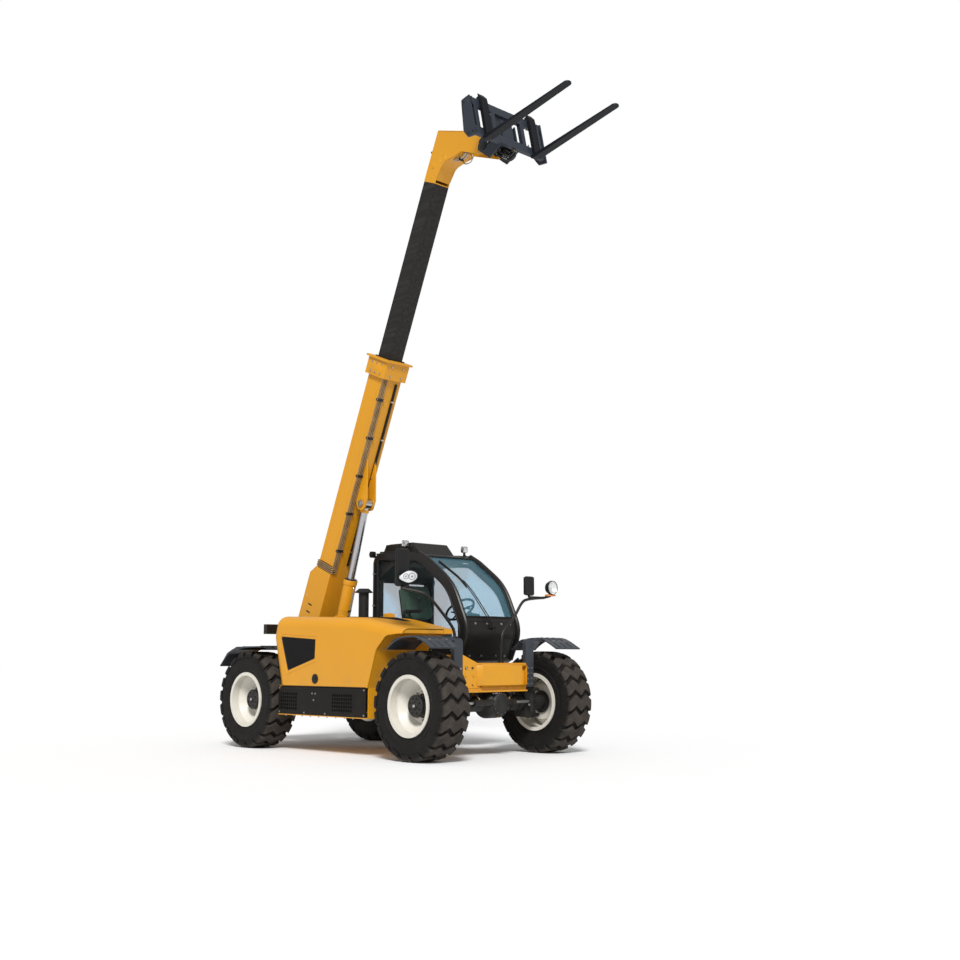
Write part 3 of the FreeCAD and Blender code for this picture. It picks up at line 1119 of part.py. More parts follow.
# Four pads between the inner and outer sections; one side is clear by a running gap
def slide_pads(name, along, inner_gap, outer_gap):
    wall = s.BoomWall
    hollow_half, hollow_top, hollow_low = s.BoomWide / 2 - wall, s.BoomTop - wall, -s.BoomUnder + wall
    inner_half = s.InnerWide / 2
    wide = (-inner_half * 0.7, inner_half * 0.7)
    tall = (-s.InnerUnder * 0.7, s.InnerTop * 0.7)
    pads = [box(name + "Top", along, wide, (s.InnerTop + inner_gap, hollow_top - outer_gap)),
            box(name + "Low", along, wide, (hollow_low + outer_gap, -s.InnerUnder - inner_gap))]
    for way in (1, -1):
        across = sorted_ends(way * (inner_half + inner_gap), way * (hollow_half - outer_gap))
        pads.append(box(f"{name}Side{way}", along, across, tall))
    return pads


# Pipes that cross the boom top, wrap round its flank, then run up its underside
def build_pipes():
    pipes = []
    radius, clear = s.PipeRadius, s.PipeRadius + s.RunningGap
    side = -s.BoomWide / 2 - radius * 2.5
    top, under = s.BoomTop + clear, -s.BoomUnder - clear
    start = s.FootLength + s.FootTaper + radius * 2
    finish = s.BoomEnd - s.CollarLong - radius
    for number in range(4):
        u, y = start + s.PipePitch * number, side + s.PipePitch * (3 - number)
        points = [(u, side + s.BoomWide / 3, top), (u, side, top), (u, side, under)]
        if number < 3:
            points.append((u, y, under))
        points.append((finish, y, under))
        pipes.append(to_boom(tube(f"Pipe{number}", points, radius, s.PipeBend)))
    node("boom_pipes", group("BoomPipes", pipes))


def build_head():
    start, wall, half = s.HeadStart, s.HeadWall, s.InnerWide / 2
    radius = s.HeadEarRadius
    nose = (s.HeadNoseU, -s.HeadNoseDown)
    hip = (s.HeadHipU, -s.HeadHipDown)
    profile = [(start, s.InnerTop), (s.HeadCornerU, s.HeadTop), nose,
               (s.TiltU + radius, -s.TiltDown, radius * 0.4), (s.TiltU + radius * 0.6, -s.TiltDown - radius, radius * 0.6),
               (s.TiltU - radius, -s.TiltDown - radius, radius * 0.9), hip,
               (s.HeadBendU, -s.HeadBendDown, radius * 1.5), (start + radius / 2, -s.InnerUnder), (start, -s.InnerUnder)]
    parts = []
    for way in (1, -1):
        parts.append(prism(f"HeadCheek{way}", "XZ", profile, *sorted_ends(way * half, way * (half - wall))))
        parts.append(cylinder(f"HeadBoss{way}", "Y", (s.TiltU, -s.TiltDown),
                              *sorted_ends(way * half, way * (half + wall)), s.TiltPinRadius * 1.7))
    across = (-half + wall / 2, half - wall / 2)
    upper = [(start, s.InnerTop), (s.HeadCornerU, s.HeadTop), nose]
    parts.append(prism("HeadTop", "XZ", sheet_outline(upper, wall), *across))
    lower = [(start + radius / 2, -s.InnerUnder + wall), (s.HeadBendU, -s.HeadBendDown + wall * 1.5, radius * 1.5),
             (hip[0], hip[1] + wall)]
    parts.append(prism("HeadUnder", "XZ", sheet_outline(lower, wall), *across))
    parts.append(box("HeadEnd", (start, start + wall), (-half, half), (-s.InnerUnder, s.InnerTop)))
    parts.append(cylinder("TiltBasePin", "Y", (s.TiltBaseU, -s.TiltBaseDown), *across, s.TiltRodRadius))
    bore = cylinder("TiltBore", "Y", (s.TiltU, -s.TiltDown), -s.InnerWide, s.InnerWide, s.TiltPinRadius + s.RunningGap)
    node("boom_head", to_boom(cut("BoomHead", joined("HeadPlates", parts), [bore])))


# Lift cylinder between the chassis and the boom lug, tilt cylinder inside the head

def root_of(value):
    return Term(math.sqrt(value.value), f"sqrt({value.text})")


# The angle whose tangent is rise over run
def slope(rise, run):
    ratio = rise / run
    return Term(math.degrees(math.atan(ratio.value)), f"atan({ratio.text})")


def cylinder_pair(name, barrel_radius, barrel_long, rod_radius, rod_tail, eye_radius, eye_half, pin_radius, length):
    wall = (barrel_radius - rod_radius) / 2
    bore = barrel_radius - wall
    body = cylinder(name + "Barrel", "X", (0, 0), eye_radius / 2, barrel_long, barrel_radius)
    eye = cylinder(name + "Eye", "Y", (0, 0), -eye_half, eye_half, eye_radius)
    chamber = cylinder(name + "Chamber", "X", (0, 0), eye_radius + wall, barrel_long - wall * 2, bore)
    gland = cylinder(name + "Gland", "X", (0, 0), barrel_long - wall * 3, barrel_long + wall,
                     rod_radius + s.RunningGap)
    pin = cylinder(name + "PinBore", "Y", (0, 0), -barrel_radius * 2, barrel_radius * 2, pin_radius + s.RunningGap)
    barrel = cut(name + "BarrelBody", joined(name + "BarrelSolid", [body, eye]), [chamber, gland, pin])
    tail = barrel_long - rod_tail
    stem = cylinder(name + "Stem", "X", (0, 0), tail, length, rod_radius)
    piston = cylinder(name + "Piston", "X", (0, 0), tail, tail + wall * 2, bore - s.RunningGap)
    rod_eye = cylinder(name + "RodEye", "Y", (length, 0), -eye_half, eye_half, eye_radius)
    return barrel, joined(name + "RodBody", [stem, piston, rod_eye])


def build_cylinders():
    base_x, base_z = rear + s.LiftBaseX, s.LiftBaseZ
    eye_x, eye_z = on_boom(s.LugU, -s.LugDown)
    run, rise = eye_x - base_x, eye_z - base_z
    pair = cylinder_pair("Lift", s.LiftBarrelRadius, s.LiftBarrelLong, s.LiftRodRadius, s.LiftRodTail,
                         s.LiftEyeRadius, s.LiftEyeHalf, s.LiftPinRadius, root_of(run * run + rise * rise))
    for label, piece in zip(("lift_barrel", "lift_rod"), pair):
        node(label, place(piece, base_x, s.BoomY, base_z, (0, -1, 0), slope(rise, run)))
    # The carriage frame leans back, so the rod eye stands off its hinge along that lean
    lean = s.CarriageLean
    hinge_x, hinge_z = on_boom(s.TiltU, -s.TiltDown)
    eye_x, eye_z = hinge_x - s.TiltLever * sine(lean), hinge_z + s.TiltLever * cosine(lean)
    base_x, base_z = on_boom(s.TiltBaseU, -s.TiltBaseDown)
    run, rise = eye_x - base_x, eye_z - base_z
    pair = cylinder_pair("Tilt", s.TiltBarrelRadius, s.TiltBarrelLong, s.TiltRodRadius, s.TiltRodTail,
                         s.TiltEyeRadius, s.TiltEyeHalf, s.TiltRodRadius, root_of(run * run + rise * rise))
    for label, piece in zip(("tilt_barrel", "tilt_rod"), pair):
        node(label, place(piece, base_x, s.BoomY, base_z, (0, -1, 0), slope(rise, run)))


# The fork carriage in its own frame, from its hinge with X along the forks

def to_carriage(piece):
    x, z = on_boom(s.TiltU, -s.TiltDown)
    return place(piece, x, s.BoomY, z, (0, -1, 0), s.CarriageLean)


UPRIGHTS = (
    # position across the carriage as a share of its half width
    0.86,
    0.4,
    -0.4,
    -0.86,
)


def build_carriage():
    back, half = s.CarriageReach, s.CarriageWide / 2
    face = back + s.CarriageThick
    low, high, bar = s.CarriageLow, s.CarriageHigh, s.CarriageBar
    parts = [box("LowerBar", (back, face), (-half, half), (low, low + bar)),
             box("UpperBar", (back, face), (-half, half), (high - bar, high))]
    for number, share in enumerate(UPRIGHTS):
        y = share * half
        parts.append(box(f"Upright{number}", (back, face), (y - s.UprightWide / 2, y + s.UprightWide / 2), (low, high)))
    deep = back - s.EndPlateDeep
    plate = [(deep, low + bar), (deep + bar / 2, low), (face, low - bar / 3), (face, high + bar * 0.15),
             (deep + bar * 0.4, high + bar * 0.15, s.EndPlate)]
    ear = [(back + s.EndPlate, low), (-s.CarriageEarRound, -s.CarriageEarRound, s.CarriageEarRound * 0.9),
           (-s.CarriageEarRound, s.TiltLever + s.CarriageEarRound, s.CarriageEarRound * 0.9), (back + s.EndPlate, high)]
    cheek = [(back + s.EndPlate, low), (s.CarriageEarRound, s.CheekLow), (s.CheekRear, 0, s.CarriageEarRound * 0.5),
             (-s.CarriageEarRound, -s.CheekRear, s.CarriageEarRound * 0.5), (back + s.EndPlate, high - bar * 1.5)]
    for way in (1, -1):
        parts.append(prism(f"EndPlate{way}", "XZ", plate, *sorted_ends(way * half, way * (half - s.EndPlate))))
        near, far = s.CarriageEarY, s.CarriageEarY + s.CarriageEar
        parts.append(prism(f"CarriageEar{way}", "XZ", ear, *sorted_ends(way * near, way * far)))
        near = s.InnerWide / 2 + s.HeadWall + s.CheekGap
        parts.append(prism(f"CarriageCheek{way}", "XZ", cheek, *sorted_ends(way * near, way * (near + s.CheekThick))))
    cross = box("EarPlate", (back, back + s.EndPlate), (-s.CarriageEarY - s.CarriageEar, s.CarriageEarY + s.CarriageEar),
                (low, high))
    pin_end = s.InnerWide / 2 + s.HeadWall + s.CheekGap + s.CheekThick * 1.5
    pin = cylinder("CarriagePin", "Y", (0, 0), -pin_end, pin_end, s.TiltPinRadius)
    node("carriage", to_carriage(joined("Carriage", parts + [cross, pin])))
    tip = face + s.ForkThick + s.ForkLong
    heel = s.ForkHeel
    side = [(face, s.ForkTop), (face, heel, s.ForkThick * 0.6), (tip, heel), (tip, heel + s.ForkTip),
            (face + s.ForkThick, heel + s.ForkThick, s.ForkThick * 0.6), (face + s.ForkThick, s.ForkTop - s.ForkThick * 1.5)]
    forks = []
    for name, way in (("Left", 1), ("Right", -1)):
        y, half_fork = way * s.ForkY, s.ForkWide / 2
        body = prism("ForkSide" + name, "XZ", side, y - half_fork, y + half_fork)
        plan = [(face - s.ForkThick, y - half_fork), (tip, y - half_fork, s.ForkNose), (tip, y + half_fork, s.ForkNose),
                (face - s.ForkThick, y + half_fork)]
        shape = prism("ForkPlan" + name, "XY", plan, heel - s.ForkThick, s.ForkTop + s.ForkThick)
        hook = box("ForkHook" + name, (back + s.EndPlate, face), (y - half_fork, y + half_fork),
                   (high + s.RunningGap, high + s.ForkThick))
        forks.append(to_carriage(joined("Fork" + name, [shared("ForkBlade" + name, [body, shape]), hook])))
    node("forks", group("Forks", forks))
    hoses = []
    ear_line = (low + s.CarriageEarRound) / (back + s.EndPlate + s.CarriageEarRound)
    x1, y0 = back + s.EndPlate / 2, -s.CarriageEarY - s.CarriageEar / 2
    for number, (x0, y1, drop) in enumerate(((s.UprightWide * 2.2, s.CarriageEarY * 1.45, s.CarriageBar * 1.5),
                                             (s.UprightWide * 3, s.CarriageEarY, s.CarriageBar))):
        z0 = -s.CarriageEarRound + (x0 + s.CarriageEarRound) * ear_line
        points = [(x0, y0, z0 - s.HoseRadius), (x0, y0, z0 - drop * 0.6), ((x0 + x1) / 2, (y0 + y1) / 2, low - drop),
                  (x1, y1, low - drop * 0.5), (x1, y1, low)]
        hoses.append(to_carriage(tube(f"Hose{number}", points, s.HoseRadius, s.UprightWide * 0.6)))
    node("carriage_hoses", group("CarriageHoses", hoses))


build_wheels()
build_axles()
build_chassis()
build_counterweight()
build_engine_bay()
build_left_side()
build_fenders()
build_cab()
build_mirrors()
build_boom()
build_cylinders()
build_carriage()
doc.recompute()

for item in doc.Objects:
    if "Invalid" in item.State or "Error" in item.State:
        raise RuntimeError(f"{item.Label} failed: {item.State}")
for label, piece in nodes.items():
    if piece.Shape.isNull() or not piece.Shape.isValid():
        raise RuntimeError(f"{label} has no valid shape")

os.makedirs("parts", exist_ok=True)
for label, piece in nodes.items():
    piece.Shape.exportStep(f"parts/{label}.step")
    print(label, len(piece.Shape.Solids), "solids", round(piece.Shape.Volume / 1e6, 1), "litres")
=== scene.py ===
import math
import bmesh
import bpy
from mathutils import Matrix, Vector


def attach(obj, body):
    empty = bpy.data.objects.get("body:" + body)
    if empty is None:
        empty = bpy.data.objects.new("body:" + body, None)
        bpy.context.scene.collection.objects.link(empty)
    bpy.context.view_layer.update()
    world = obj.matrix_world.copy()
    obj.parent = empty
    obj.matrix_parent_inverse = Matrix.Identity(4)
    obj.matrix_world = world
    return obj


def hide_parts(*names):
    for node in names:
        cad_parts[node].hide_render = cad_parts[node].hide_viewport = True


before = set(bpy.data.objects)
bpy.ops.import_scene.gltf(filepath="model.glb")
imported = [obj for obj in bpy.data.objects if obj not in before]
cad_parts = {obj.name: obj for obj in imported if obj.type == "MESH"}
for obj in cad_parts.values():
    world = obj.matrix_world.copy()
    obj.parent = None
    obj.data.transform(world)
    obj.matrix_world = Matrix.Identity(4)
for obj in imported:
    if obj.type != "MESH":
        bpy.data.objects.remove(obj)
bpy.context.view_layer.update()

rearAxle, frontAxle = -2.03, 1.02
axleHeight, wheelSide = 0.5875, 0.975
boomSide = -0.10
boomPivot = Vector((-2.10, boomSide, 1.27))
boomAngle, carriageLean = math.radians(67.5), math.radians(12)


# Shader maths: a socket that takes part in plain sums
class Sum:
    def __init__(self, finish, socket):
        self.finish = finish
        self.socket = socket

    def mathNode(self, operation, other, swapped=False):
        pair = (other, self) if swapped else (self, other)
        return self.finish.add("Math", {"operation": operation}, {0: pair[0], 1: pair[1]})

    def __add__(self, other):
        return self.mathNode("ADD", other)

    def __sub__(self, other):
        return self.mathNode("SUBTRACT", other)

    def __mul__(self, other):
        return self.mathNode("MULTIPLY", other)

    def __truediv__(self, other):
        return self.mathNode("DIVIDE", other)

    def __rsub__(self, other):
        return self.mathNode("SUBTRACT", other, True)

    __radd__ = __add__
    __rmul__ = __mul__

    def clamp(self):
        return self.finish.add("Clamp", {}, {"Value": self})


# One material with its nodes
class Finish:
    def __init__(self, name, specular=0.5):
        self.material = bpy.data.materials.new(name)
        self.material.use_nodes = True
        self.tree = self.material.node_tree
        self.shader = self.tree.nodes["Principled BSDF"]
        self.shader.inputs["Specular IOR Level"].default_value = specular
        self.place = self.add("TexCoord", {}, {}, "Object")

    def add(self, kind, settings, inputs, output=0):
        node = self.tree.nodes.new("ShaderNode" + kind)
        for name, value in settings.items():
            if name == "stops":
                for spot, (position, shade) in zip((0, 1), value):
                    node.color_ramp.elements[spot].position = position
                    node.color_ramp.elements[spot].color = (shade, shade, shade, 1)
            else:
                setattr(node, name, value)
        for name, value in inputs.items():
            if isinstance(value, Sum):
                self.tree.links.new(value.socket, node.inputs[name])
            else:
                node.inputs[name].default_value = value
        return Sum(self, node.outputs[output])

    def noise(self, scale, detail=4, roughness=0.5, stretch=(1, 1, 1)):
        spot = self.add("Mapping", {}, {"Vector": self.place, "Scale": stretch})
        return self.add("TexNoise", {}, {"Vector": spot, "Scale": scale, "Detail": detail, "Roughness": roughness})

    def ramp(self, value, low, high):
        return self.add("ValToRGB", {"stops": ((low, 0), (high, 1))}, {"Fac": value})

    def axis(self, name):
        return self.add("SeparateXYZ", {}, {"Vector": self.place}, name)

    def colours(self, factor, first, second):
        return self.add("Mix", {"data_type": "RGBA"}, {"Factor": factor, 6: first, 7: second}, 2)

    def bump(self, height, strength, distance):
        self.set("Normal", self.add("Bump", {}, {"Height": height, "Strength": strength, "Distance": distance}))

    def set(self, name, value):
        if isinstance(value, Sum):
            self.tree.links.new(value.socket, self.shader.inputs[name])
        else:
            self.shader.inputs[name].default_value = value


def rgb(red, green, blue):
    return (red, green, blue, 1.0)


# Sprayed paint: slight shade changes, orange peel, road dust that fades out with height
def paint(name, colour, dust, roughness=0.34, coat=0.25, specular=0.3, dustHeight=1.3, dustAmount=0.5):
    finish = Finish(name, specular)
    broad = finish.noise(1.3, 3)
    shade = finish.colours(broad, rgb(*[part * 0.93 for part in colour]), rgb(*[min(part * 1.05, 1) for part in colour]))
    height = (1 - finish.axis("Z") / dustHeight).clamp()
    grime = finish.ramp(finish.noise(7, 8, 0.65), 0.42, 0.75)
    mask = (height * grime * dustAmount).clamp()
    finish.set("Base Color", finish.colours(mask, shade, rgb(*dust)))
    finish.set("Roughness", (finish.noise(24, 4) * 0.14 + (roughness - 0.07) + mask * 0.4).clamp())
    finish.set("Coat Weight", coat)
    finish.set("Coat Roughness", 0.12)
    finish.bump(finish.noise(160, 2), 0.05, 0.002)
    return finish.material


# Rubber of one wheel: dusty towards the tread, darker down the sidewall
def tyreRubber(name, axleX):
    finish = Finish(name, 0.18)
    across = finish.axis("X") - axleX
    up = finish.axis("Z") - axleHeight
    radius = finish.add("Math", {"operation": "SQRT"}, {0: across * across + up * up})
    tread = ((radius - 0.545) / 0.035).clamp()
    grime = finish.ramp(finish.noise(9, 8, 0.7), 0.35, 0.8)
    body = finish.colours(grime, rgb(0.006, 0.0055, 0.005), rgb(0.014, 0.012, 0.011))
    worn = finish.colours(grime, rgb(0.030, 0.025, 0.021), rgb(0.066, 0.055, 0.046))
    finish.set("Base Color", finish.colours(tread, body, worn))
    finish.set("Roughness", (finish.noise(30, 4) * 0.2 + 0.55 + tread * 0.15).clamp())
    finish.bump(finish.noise(90, 6, 0.7), 0.25, 0.003)
    return finish.material


# Rim paint out to the hub, bare dark casting inside it
def wheelPaint(name, axleX):
    finish = Finish(name)
    across = finish.axis("X") - axleX
    up = finish.axis("Z") - axleHeight
    radius = finish.add("Math", {"operation": "SQRT"}, {0: across * across + up * up})
    hub = ((0.133 - radius) / 0.003).clamp()
    grime = finish.ramp(finish.noise(11, 8, 0.7), 0.5, 0.85)
    corner = ((radius - 0.27) / 0.05).clamp() * grime * 0.5
    cream = finish.colours(corner, rgb(0.62, 0.59, 0.52), rgb(0.28, 0.23, 0.17))
    casting = finish.colours(grime, rgb(0.012, 0.011, 0.010), rgb(0.035, 0.028, 0.022))
    finish.set("Base Color", finish.colours(hub, cream, casting))
    finish.set("Roughness", (finish.noise(30, 4) * 0.15 + 0.34 + hub * 0.15).clamp())
    finish.bump(finish.noise(120, 4), 0.08, 0.002)
    return finish.material


def castMetal(name, colour, roughness, metallic=0.0, grain=70, strength=0.3):
    finish = Finish(name, 0.3)
    grime = finish.ramp(finish.noise(8, 8, 0.7), 0.35, 0.8)
    finish.set("Base Color", finish.colours(grime, rgb(*colour), rgb(*[part * 1.9 + 0.008 for part in colour])))
    finish.set("Roughness", (finish.noise(20, 5) * 0.25 + roughness - 0.12).clamp())
    finish.set("Metallic", metallic)
    finish.bump(finish.noise(grain, 6, 0.7), strength, 0.002)
    return finish.material


def moulding(name, colour, roughness=0.5, grain=420, strength=0.15):
    finish = Finish(name, 0.25)
    broad = finish.noise(3, 4)
    finish.set("Base Color", finish.colours(broad, rgb(*[part * 0.85 for part in colour]), rgb(*[part * 1.2 for part in colour])))
    finish.set("Roughness", (finish.noise(40, 4) * 0.16 + roughness - 0.08).clamp())
    finish.bump(finish.noise(grain, 3), strength, 0.001)
    return finish.material


# Rolled plate on the sliding boom: faint grease streaks that run along it
def slidingPaint(name, colour):
    finish = Finish(name, 0.15)
    along = finish.add("Mapping", {}, {"Vector": finish.place, "Rotation": (0, boomAngle, 0), "Scale": (0.5, 14, 14)})
    streak = finish.ramp(finish.add("TexNoise", {}, {"Vector": along, "Scale": 2.2, "Detail": 6}), 0.4, 0.72)
    finish.set("Base Color", finish.colours(streak * 0.7, rgb(*colour), rgb(*[part * 2.1 for part in colour])))
    finish.set("Roughness", (finish.noise(26, 4) * 0.2 + 0.36 - streak * 0.1).clamp())
    finish.bump(finish.noise(140, 3), 0.06, 0.002)
    return finish.material


def brightMetal(name, colour, roughness):
    finish = Finish(name)
    finish.set("Base Color", finish.colours(finish.noise(5, 4), rgb(*[part * 0.85 for part in colour]), rgb(*colour)))
    finish.set("Metallic", 1.0)
    finish.set("Roughness", (finish.noise(60, 4) * 0.1 + roughness).clamp())
    finish.bump(finish.noise(300, 2), 0.03, 0.001)
    return finish.material


def tintedGlass(name, colour, alpha, roughness=0.03):
    finish = Finish(name)
    finish.set("Base Color", finish.colours(finish.noise(2, 2), rgb(*[part * 0.9 for part in colour]), rgb(*colour)))
    finish.set("Alpha", (finish.noise(1.5, 2) * 0.08 + alpha - 0.04).clamp())
    finish.set("Roughness", (finish.noise(3, 3) * 0.03 + roughness).clamp())
    finish.set("Coat Weight", 0.6)
    return finish.material


# Side glass is nearly clear on the right and tinted on the rear wall and the door
def cabGlass(name, colour, clearAlpha, tintAlpha):
    finish = Finish(name, 0.3)
    away = ((finish.axis("Y") - 0.6) / 0.2).clamp() + ((-1.05 - finish.axis("X")) / 0.05).clamp()
    finish.set("Base Color", finish.colours(away.clamp(), rgb(0.06, 0.08, 0.08), rgb(*colour)))
    finish.set("Alpha", (away.clamp() * (tintAlpha - clearAlpha) + clearAlpha).clamp())
    finish.set("Roughness", (finish.noise(3, 3) * 0.03 + 0.03).clamp())
    return finish.material


def seatCloth(name, colour):
    finish = Finish(name)
    weave = finish.add("TexWave", {"wave_type": "BANDS", "bands_direction": "DIAGONAL"},
                       {"Vector": finish.place, "Scale": 170, "Distortion": 1.2})
    finish.set("Base Color", finish.colours(weave * 0.6 + finish.noise(5) * 0.3, rgb(*[part * 0.6 for part in colour]),
                                            rgb(*[part * 1.5 for part in colour])))
    finish.set("Roughness", (finish.noise(60) * 0.1 + 0.82).clamp())
    finish.set("Sheen Weight", 0.25)
    finish.bump(weave, 0.35, 0.001)
    return finish.material


print("finishes")
yellow = paint("yellowPaint", (0.615, 0.275, 0.009), (0.28, 0.19, 0.09), 0.36, 0.15)
black = paint("blackPaint", (0.009, 0.008, 0.007), (0.045, 0.034, 0.025), 0.42, 0.05)
panelPaint = paint("panelPaint", (0.007, 0.006, 0.005), (0.035, 0.025, 0.017), 0.46, 0.0, 0.15)
carriagePaint = paint("carriagePaint", (0.020, 0.026, 0.037), (0.1, 0.09, 0.08), 0.42, 0.05)
forkPaint = paint("forkPaint", (0.006, 0.007, 0.010), (0.1, 0.09, 0.08), 0.45, 0.0, 0.15)
pipePaint = castMetal("pipePaint", (0.24, 0.155, 0.075), 0.36, 0.55, 200, 0.1)
innerBoomPaint = slidingPaint("innerBoomPaint", (0.016, 0.0145, 0.0135))
casting = castMetal("darkCasting", (0.009, 0.0085, 0.008), 0.55)
engineMetal = castMetal("engineMetal", (0.03, 0.03, 0.032), 0.5, 0.3)
plastic = moulding("blackPlastic", (0.009, 0.009, 0.009), 0.5)
fenderPlastic = moulding("fenderPlastic", (0.034, 0.039, 0.047), 0.34, 300, 0.12)
rubber = moulding("hoseRubber", (0.010, 0.010, 0.011), 0.55, 500, 0.2)
chrome = brightMetal("rodChrome", (0.50, 0.50, 0.52), 0.14)
steel = brightMetal("zincSteel", (0.46, 0.45, 0.43), 0.30)
palePaint = paint("paleBars", (0.42, 0.42, 0.40), (0.3, 0.28, 0.24), 0.4, 0.1)
windowGlass = cabGlass("windowGlass", (0.16, 0.58, 0.90), 0.05, 0.36)
screenGlass = tintedGlass("screenGlass", (0.14, 0.36, 0.46), 0.17)
lensGlass = tintedGlass("lensGlass", (0.80, 0.82, 0.84), 0.22)
amberLens = tintedGlass("amberLens", (0.80, 0.25, 0.02), 0.9, 0.12)
redLens = tintedGlass("redLens", (0.55, 0.015, 0.012), 0.92, 0.12)
lampSilver = brightMetal("lampSilver", (0.90, 0.90, 0.90), 0.30)
mirrorFace = brightMetal("mirrorFace", (0.86, 0.88, 0.9), 0.02)
cloth = seatCloth("seatCloth", (0.020, 0.060, 0.035))
brass = brightMetal("brassFitting", (0.62, 0.44, 0.18), 0.28)


# A piece under construction: its mesh, the frame that its sizes are given in, and its finishes
class Piece:
    def __init__(self, name, *finishes, place=None):
        self.name = name
        self.finishes = finishes
        self.place = place or Matrix.Identity(4)
        self.bm = bmesh.new()

    def settle(self, verts, local, finish, bevel=0.0, segments=2):
        bmesh.ops.transform(self.bm, matrix=local, verts=verts)
        faces = list({face for vert in verts for face in vert.link_faces})
        if bevel:
            edges = list({edge for face in faces for edge in face.edges})
            made = bmesh.ops.bevel(self.bm, geom=edges, offset=bevel, affect="EDGES", segments=segments,
                                   profile=0.5, material=-1, clamp_overlap=True)
            verts = list({vert for face in made["faces"] for vert in face.verts} | {v for v in verts if v.is_valid})
            faces = list({face for vert in verts for face in vert.link_faces})
        for face in faces:
            face.material_index = finish
        bmesh.ops.transform(self.bm, matrix=self.place, verts=verts)
        return verts

    def box(self, low, high, finish=0, bevel=0.0, turn=None):
        low, high = Vector(low), Vector(high)
        size = high - low
        local = Matrix.Translation((low + high) / 2)
        if turn is not None:
            local = local @ Matrix.Rotation(math.radians(turn[1]), 4, turn[0])
        made = bmesh.ops.create_cube(self.bm, size=1)
        local = local @ Matrix.Diagonal((size.x, size.y, size.z, 1))
        return self.settle(made["verts"], local, finish, bevel)

    def rod(self, start, end, radius, endRadius=None, finish=0, segments=24, bevel=0.0):
        start, end = Vector(start), Vector(end)
        run = end - start
        made = bmesh.ops.create_cone(self.bm, cap_ends=True, segments=segments, radius1=radius,
                                     radius2=radius if endRadius is None else endRadius, depth=run.length)
        turn = run.to_track_quat("Z", "Y").to_matrix().to_4x4()
        local = Matrix.Translation((start + end) / 2) @ turn
        if bevel:
            self.settle(made["verts"], local, finish)
            caps = [face for vert in made["verts"] for face in vert.link_faces if len(face.verts) > 4]
            edges = list({edge for face in caps for edge in face.edges})
            bmesh.ops.bevel(self.bm, geom=edges, offset=bevel, affect="EDGES", segments=2, profile=0.5, material=-1)
            return made["verts"]
        return self.settle(made["verts"], local, finish)

    def bolt(self, spot, out, radius=0.011, finish=0):
        spot, out = Vector(spot), Vector(out).normalized()
        self.rod(spot, spot + out * radius * 0.35, radius * 1.5, finish=finish, segments=16)
        self.rod(spot + out * radius * 0.35, spot + out * radius * 1.2, radius, finish=finish, segments=6)

    def ball(self, spot, radius, finish=0, scale=(1, 1, 1)):
        made = bmesh.ops.create_uvsphere(self.bm, u_segments=20, v_segments=12, radius=radius)
        return self.settle(made["verts"], Matrix.Translation(spot) @ Matrix.Diagonal((*scale, 1)), finish)

    # A flat outline pulled out along a direction
    def slab(self, corners, pull, finish=0, bevel=0.0):
        verts = [self.bm.verts.new(corner) for corner in corners]
        face = self.bm.faces.new(verts)
        made = bmesh.ops.extrude_face_region(self.bm, geom=[face])
        moved = [item for item in made["geom"] if isinstance(item, bmesh.types.BMVert)]
        bmesh.ops.translate(self.bm, vec=Vector(pull), verts=moved)
        return self.settle(verts + moved, Matrix.Identity(4), finish, bevel)

    # An outline of (along the axis, radius) spun about an axis through a centre
    def lathe(self, outline, centre, axis, finish=0, segments=48):
        axis = Vector(axis).normalized()
        side = axis.orthogonal().normalized()
        centre = Vector(centre)
        verts = [self.bm.verts.new(centre + axis * along + side * radius) for along, radius in outline]
        edges = [self.bm.edges.new(pair) for pair in zip(verts, verts[1:])]
        made = bmesh.ops.spin(self.bm, geom=verts + edges, cent=centre, axis=axis, angle=math.tau,
                              steps=segments, use_merge=True)
        spun = [item for item in made["geom_last"] if isinstance(item, bmesh.types.BMVert)]
        island = set(verts) | set(spun)
        grown = list(island)
        while grown:
            vert = grown.pop()
            for edge in vert.link_edges:
                other = edge.other_vert(vert)
                if other not in island:
                    island.add(other)
                    grown.append(other)
        return self.settle(list(island), Matrix.Identity(4), finish)

    # A round bar along corners, smooth through them
    def pipe(self, points, radius, finish=0, rounding=8):
        curve = bpy.data.curves.new(self.name + "Route", "CURVE")
        curve.dimensions = "3D"
        curve.bevel_depth = radius
        curve.bevel_resolution = 3
        curve.resolution_u = rounding
        curve.use_fill_caps = True
        spline = curve.splines.new("NURBS")
        spline.points.add(len(points) - 1)
        for spot, point in zip(spline.points, points):
            spot.co = (*point, 1)
        spline.order_u = 3
        spline.use_endpoint_u = True
        holder = bpy.data.objects.new(self.name + "Route", curve)
        bpy.context.collection.objects.link(holder)
        mesh = bpy.data.meshes.new_from_object(holder.evaluated_get(bpy.context.evaluated_depsgraph_get()))
        before = set(self.bm.verts)
        self.bm.from_mesh(mesh)
        verts = [vert for vert in self.bm.verts if vert not in before]
        bpy.data.objects.remove(holder)
        bpy.data.curves.remove(curve)
        bpy.data.meshes.remove(mesh)
        return self.settle(verts, Matrix.Identity(4), finish)

    def done(self, body, sharp=35, replacing=()):
        bmesh.ops.remove_doubles(self.bm, verts=self.bm.verts, dist=0.00002)
        bmesh.ops.recalc_face_normals(self.bm, faces=self.bm.faces)
        mesh = bpy.data.meshes.new(self.name)
        self.bm.to_mesh(mesh)
        self.bm.free()
        for face in mesh.polygons:
            face.use_smooth = True
        mesh.set_sharp_from_angle(angle=math.radians(sharp))
        made = bpy.data.objects.new(self.name, mesh)
        bpy.context.collection.objects.link(made)
        for finish in self.finishes:
            made.data.materials.append(finish)
        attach(made, body)
        if replacing:
            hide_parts(*replacing)
        return made


